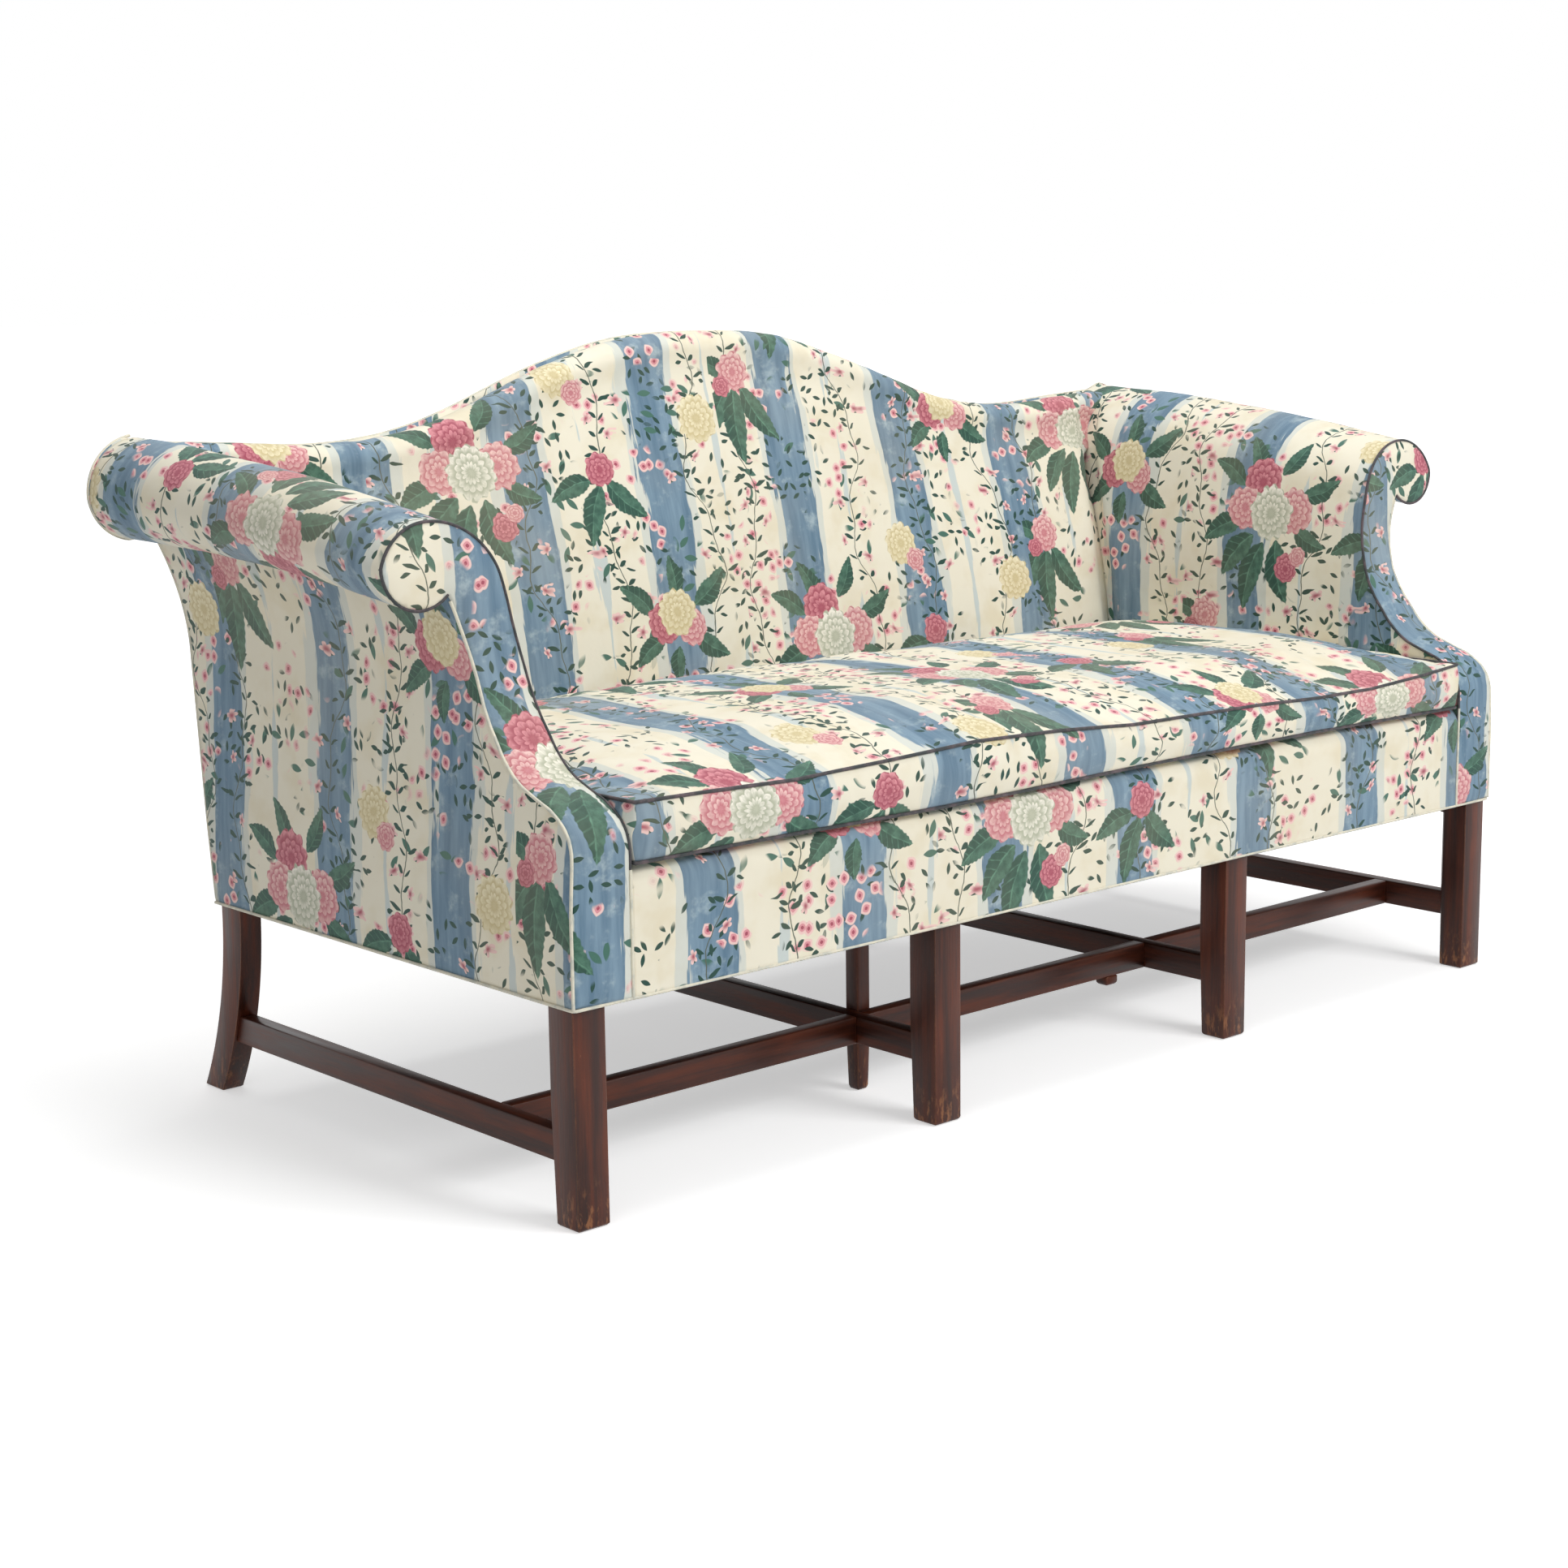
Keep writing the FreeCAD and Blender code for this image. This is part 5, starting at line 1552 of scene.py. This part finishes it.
@dataclass
class Joinery:
    """Legs, stretchers and hidden frame: worn edges on what shows, finishes on the rest."""

    mahogany: Mahogany = field(default_factory=Mahogany)
    leg_round: float = 0.0028
    stretcher_round: float = 0.0018
    foot_round: float = 0.006

    def rounded(self, source: bpy.types.Object, wood: bpy.types.Material, width: float) -> None:
        """Replace a node by a copy with rounded arrises, and well-worn ones at the floor.

        Args:
            source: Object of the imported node.
            wood: Finish of the piece.
            width: Width of the rounding in metres.
        """
        shape = bmesh.new()
        shape.from_mesh(source.data)
        bmesh.ops.remove_doubles(shape, verts=shape.verts, dist=1e-5)
        bmesh.ops.dissolve_limit(shape, angle_limit=math.radians(1.0), verts=shape.verts, edges=shape.edges)
        for floor, size in ((True, self.foot_round), (False, width)):
            sharp = [edge for edge in shape.edges
                     if len(edge.link_faces) == 2 and edge.calc_face_angle() > math.radians(28)
                     and (max(v.co.z for v in edge.verts) < 0.004) == floor]
            if floor and max(v.co.z for v in shape.verts) < 0.15:
                continue
            if sharp:
                bmesh.ops.bevel(shape, geom=sharp, offset=size, offset_type="OFFSET", profile=0.5,
                                segments=3 if floor else 2, affect="EDGES", clamp_overlap=True)
        bmesh.ops.recalc_face_normals(shape, faces=shape.faces)
        mesh = bpy.data.meshes.new(source.name + "_worn")
        shape.to_mesh(mesh)
        shape.free()
        mesh.polygons.foreach_set("use_smooth", [True] * len(mesh.polygons))
        mesh.set_sharp_from_angle(angle=math.radians(32))
        piece = bpy.data.objects.new(source.name + "_worn", mesh)
        bpy.context.scene.collection.objects.link(piece)
        finish_piece(piece, wood, Body.SOFA, [source.name])

    def build(self) -> None:
        """Dress every wooden, woven and metal node."""
        upright = self.mahogany.make("mahogany_upright", Grain.UPRIGHT)
        lengthways = self.mahogany.make("mahogany_lengthways", Grain.LENGTHWAYS)
        depthways = self.mahogany.make("mahogany_depthways", Grain.DEPTHWAYS)
        plain = Mahogany(srgb(176, 138, 94), srgb(206, 172, 126), srgb(220, 196, 158))
        beech = plain.make("beech", Grain.LENGTHWAYS)
        jute = PlainCotton(srgb(150, 122, 78), srgb(184, 158, 112), 0.9).make("jute")
        steel = PlainCotton(srgb(120, 122, 124), srgb(150, 152, 154), 0.35).make("spring_steel")
        for name, piece in dict(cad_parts).items():
            if "stretcher" in name:
                across = name.startswith("medial") or name == "stretcher_stub"
                self.rounded(piece, lengthways if across else depthways, self.stretcher_round)
                continue
            if "leg" in name:
                self.rounded(piece, upright, self.leg_round)
                continue
            if "webbing" in name:
                wood = jute
            elif name in ("seat_springs", "corner_block_screws"):
                wood = steel
            else:
                wood = beech
            for slot in piece.material_slots:
                slot.material = wood
        LOG.info("joinery dressed")


@dataclass
class DustCover:
    """Black cambric under the seat, notched round the legs and sagging a little."""

    form: Form
    cambric: bpy.types.Material
    level: float = 270.6
    edge: float = 12.0
    rear: float = 784.0
    leg: float = 24.5
    leg_deep: float = 49.0
    rear_leg: float = 731.0

    def outline(self) -> np.ndarray:
        """Cut of the cloth in X and depth, with a notch for every leg."""
        span = self.form.half_span - 10.0
        inner = 295.0
        front = [(-span, self.leg_deep), (-span + 42, self.leg_deep), (-span + 42, self.edge)]
        for centre in (-inner, inner):
            front += [(centre - self.leg, self.edge), (centre - self.leg, self.leg_deep),
                      (centre + self.leg, self.leg_deep), (centre + self.leg, self.edge)]
        front += [(span - 42, self.edge), (span - 42, self.leg_deep), (span, self.leg_deep)]
        back = [(span, self.rear_leg), (span - 26, self.rear_leg), (span - 26, self.rear)]
        for centre in (inner, -inner):
            back += [(centre + 17, self.rear), (centre + 17, self.rear_leg), (centre - 17, self.rear_leg),
                     (centre - 17, self.rear)]
        back += [(-span + 26, self.rear), (-span + 26, self.rear_leg), (-span, self.rear_leg)]
        return np.array(front + back, dtype=float)

    def build(self) -> None:
        """Build the cloth as a thin sheet."""
        cut = self.outline()
        outline = resample(np.concatenate([cut, cut[:1]]), 8.0)[:-1]
        points, faces = fill_outline(outline, 22.0)
        away = distance_to(outline, points)
        solid = np.stack([points[:, 0], points[:, 1], np.full(len(points), self.level)], axis=1)
        solid[:, 2] -= 5.0 * (1 - np.exp(-away / 120.0)) + ripple(solid, 190.0, 61.0) * 0.8 * (away > 1)
        faces = [tuple(reversed(face)) for face in faces]
        piece = new_mesh_piece("dust_cover_cloth", self.form.place(solid), faces)
        finish_sheet(piece, self.cambric, "dust_cover", 0.0006)


def seen_share(g: Graph) -> Socket:
    """One for rays from the camera and those it sends on by reflection or through glass, else zero."""
    rays = g.node("ShaderNodeLightPath")
    sent_on = g.math("MAXIMUM", rays.outputs["Is Glossy Ray"], rays.outputs["Is Transmission Ray"])
    return g.math("MAXIMUM", rays.outputs["Is Camera Ray"], sent_on)


@dataclass
class Studio:
    """Pale floor and backdrop, soft lights and the camera at the photograph's angle."""

    place: tuple[float, float, float] = (-2.7758, -2.8917, 1.1044)
    lens: float = 63.3262
    yaw: float = 41.8084
    pitch: float = 10.5283
    roll: float = -0.75
    floor_half: float = 60.0
    floor_gap: float = 0.0005

    def camera(self) -> None:
        """Place the camera that sees the photograph's view."""
        data = bpy.data.cameras.new("camera")
        data.sensor_width = 36.0
        data.sensor_fit = "HORIZONTAL"
        data.lens = self.lens
        made = bpy.data.objects.new("camera", data)
        bpy.context.scene.collection.objects.link(made)
        yaw, pitch, roll = (math.radians(a) for a in (self.yaw, self.pitch, self.roll))
        ahead = Vector((math.sin(yaw) * math.cos(pitch), math.cos(yaw) * math.cos(pitch), -math.sin(pitch)))
        right = Vector((math.cos(yaw), -math.sin(yaw), 0.0))
        up = right.cross(ahead)
        tilted = right * math.cos(roll) + up * math.sin(roll)
        above = up * math.cos(roll) - right * math.sin(roll)
        turn = Matrix((tilted, above, -ahead)).transposed()
        made.matrix_world = Matrix.Translation(self.place) @ turn.to_4x4()
        bpy.context.scene.camera = made

    def lamp(self, name: str, place: tuple[float, float, float], size: float, power: float) -> None:
        """Square soft lamp that faces the sofa."""
        data = bpy.data.lights.new(name, "AREA")
        data.size = size
        data.energy = power
        made = bpy.data.objects.new(name, data)
        made.location = place
        made.rotation_euler = (Vector((0, 0, 0.45)) - Vector(place)).to_track_quat("-Z", "Y").to_euler()
        bpy.context.scene.collection.objects.link(made)

    def stage(self) -> None:
        """Floor that keeps the shadow and looks white to the camera."""
        size = self.floor_half
        corners = np.array([[-size, -size, 0], [size, -size, 0], [size, size, 0], [-size, size, 0]], float)
        floor = new_mesh_piece("floor", corners - np.array([0, 0, self.floor_gap]), [(0, 1, 2, 3)])
        material = bpy.data.materials.new("floor")
        material.use_nodes = True
        tree = material.node_tree
        tree.nodes.clear()
        g = Graph(tree)
        matt = g.node("ShaderNodeBsdfDiffuse")
        matt.inputs["Color"].default_value = (0.82, 0.82, 0.82, 1)
        glow = g.node("ShaderNodeEmission")
        seen = seen_share(g)
        away = g.vector("LENGTH", g.node("ShaderNodeTexCoord").outputs["Object"])
        g.feed(glow.inputs["Strength"], g.math("MULTIPLY", seen, g.step(away, 1.2, 3.0, 0.50, 1.0)))
        both = g.node("ShaderNodeAddShader")
        g.feed(both.inputs[0], matt.outputs[0])
        g.feed(both.inputs[1], glow.outputs[0])
        out = g.node("ShaderNodeOutputMaterial")
        g.feed(out.inputs["Surface"], both.outputs[0])
        floor.data.materials.append(material)

    def sky(self) -> None:
        """Even pale surroundings, white to the camera."""
        world = bpy.data.worlds.new("studio")
        bpy.context.scene.world = world
        world.use_nodes = True
        g = Graph(world.node_tree)
        ground = world.node_tree.nodes["Background"]
        ground.inputs["Color"].default_value = (1.0, 1.0, 1.0, 1)
        seen = seen_share(g)
        g.feed(ground.inputs["Strength"], g.math("ADD", 0.29, g.math("MULTIPLY", seen, 0.71)))

    def build(self) -> None:
        """Build the stage, the lights and the camera."""
        self.camera()
        self.stage()
        self.sky()
        self.lamp("key", (1.0, -4.2, 3.6), 2.4, 160.0)
        self.lamp("fill", (-4.4, -2.4, 2.2), 3.0, 30.0)
        self.lamp("top", (0.0, 0.2, 4.3), 2.6, 84.0)
        bpy.context.scene.view_settings.view_transform = "Standard"
        LOG.info("studio ready")


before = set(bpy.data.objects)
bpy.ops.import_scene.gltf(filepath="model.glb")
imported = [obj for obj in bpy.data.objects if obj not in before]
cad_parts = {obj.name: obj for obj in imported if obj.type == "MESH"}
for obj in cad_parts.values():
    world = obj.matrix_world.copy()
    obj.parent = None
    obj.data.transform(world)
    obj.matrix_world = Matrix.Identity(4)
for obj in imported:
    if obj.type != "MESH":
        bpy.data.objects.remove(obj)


def main() -> None:
    """Build the dressed sofa and its stage."""
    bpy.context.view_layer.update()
    cotton = PrintedCotton().make("printed_cotton")
    dark = PlainCotton(srgb(34, 40, 42), srgb(88, 74, 78)).make("welt_dark")
    pale = PlainCotton(srgb(226, 220, 200), srgb(196, 196, 184)).make("welt_pale")
    lining = PlainCotton(srgb(226, 216, 192), srgb(214, 202, 176)).make("deck_lining")
    cambric = PlainCotton(srgb(30, 29, 27), srgb(44, 42, 39), 0.9).make("cambric")
    welts = Welts()
    Studio().build()
    Joinery().build()
    for side in Side:
        Arm(side, FORM, cotton).build(welts, dark, pale)
    Back(FORM, cotton).build(welts, pale)
    SeatFront(FORM, cotton, lining).build(welts, pale)
    Cushion(FORM, cotton).build(welts, dark)
    DustCover(FORM, cambric).build()


if __name__ == "__main__":
    main()
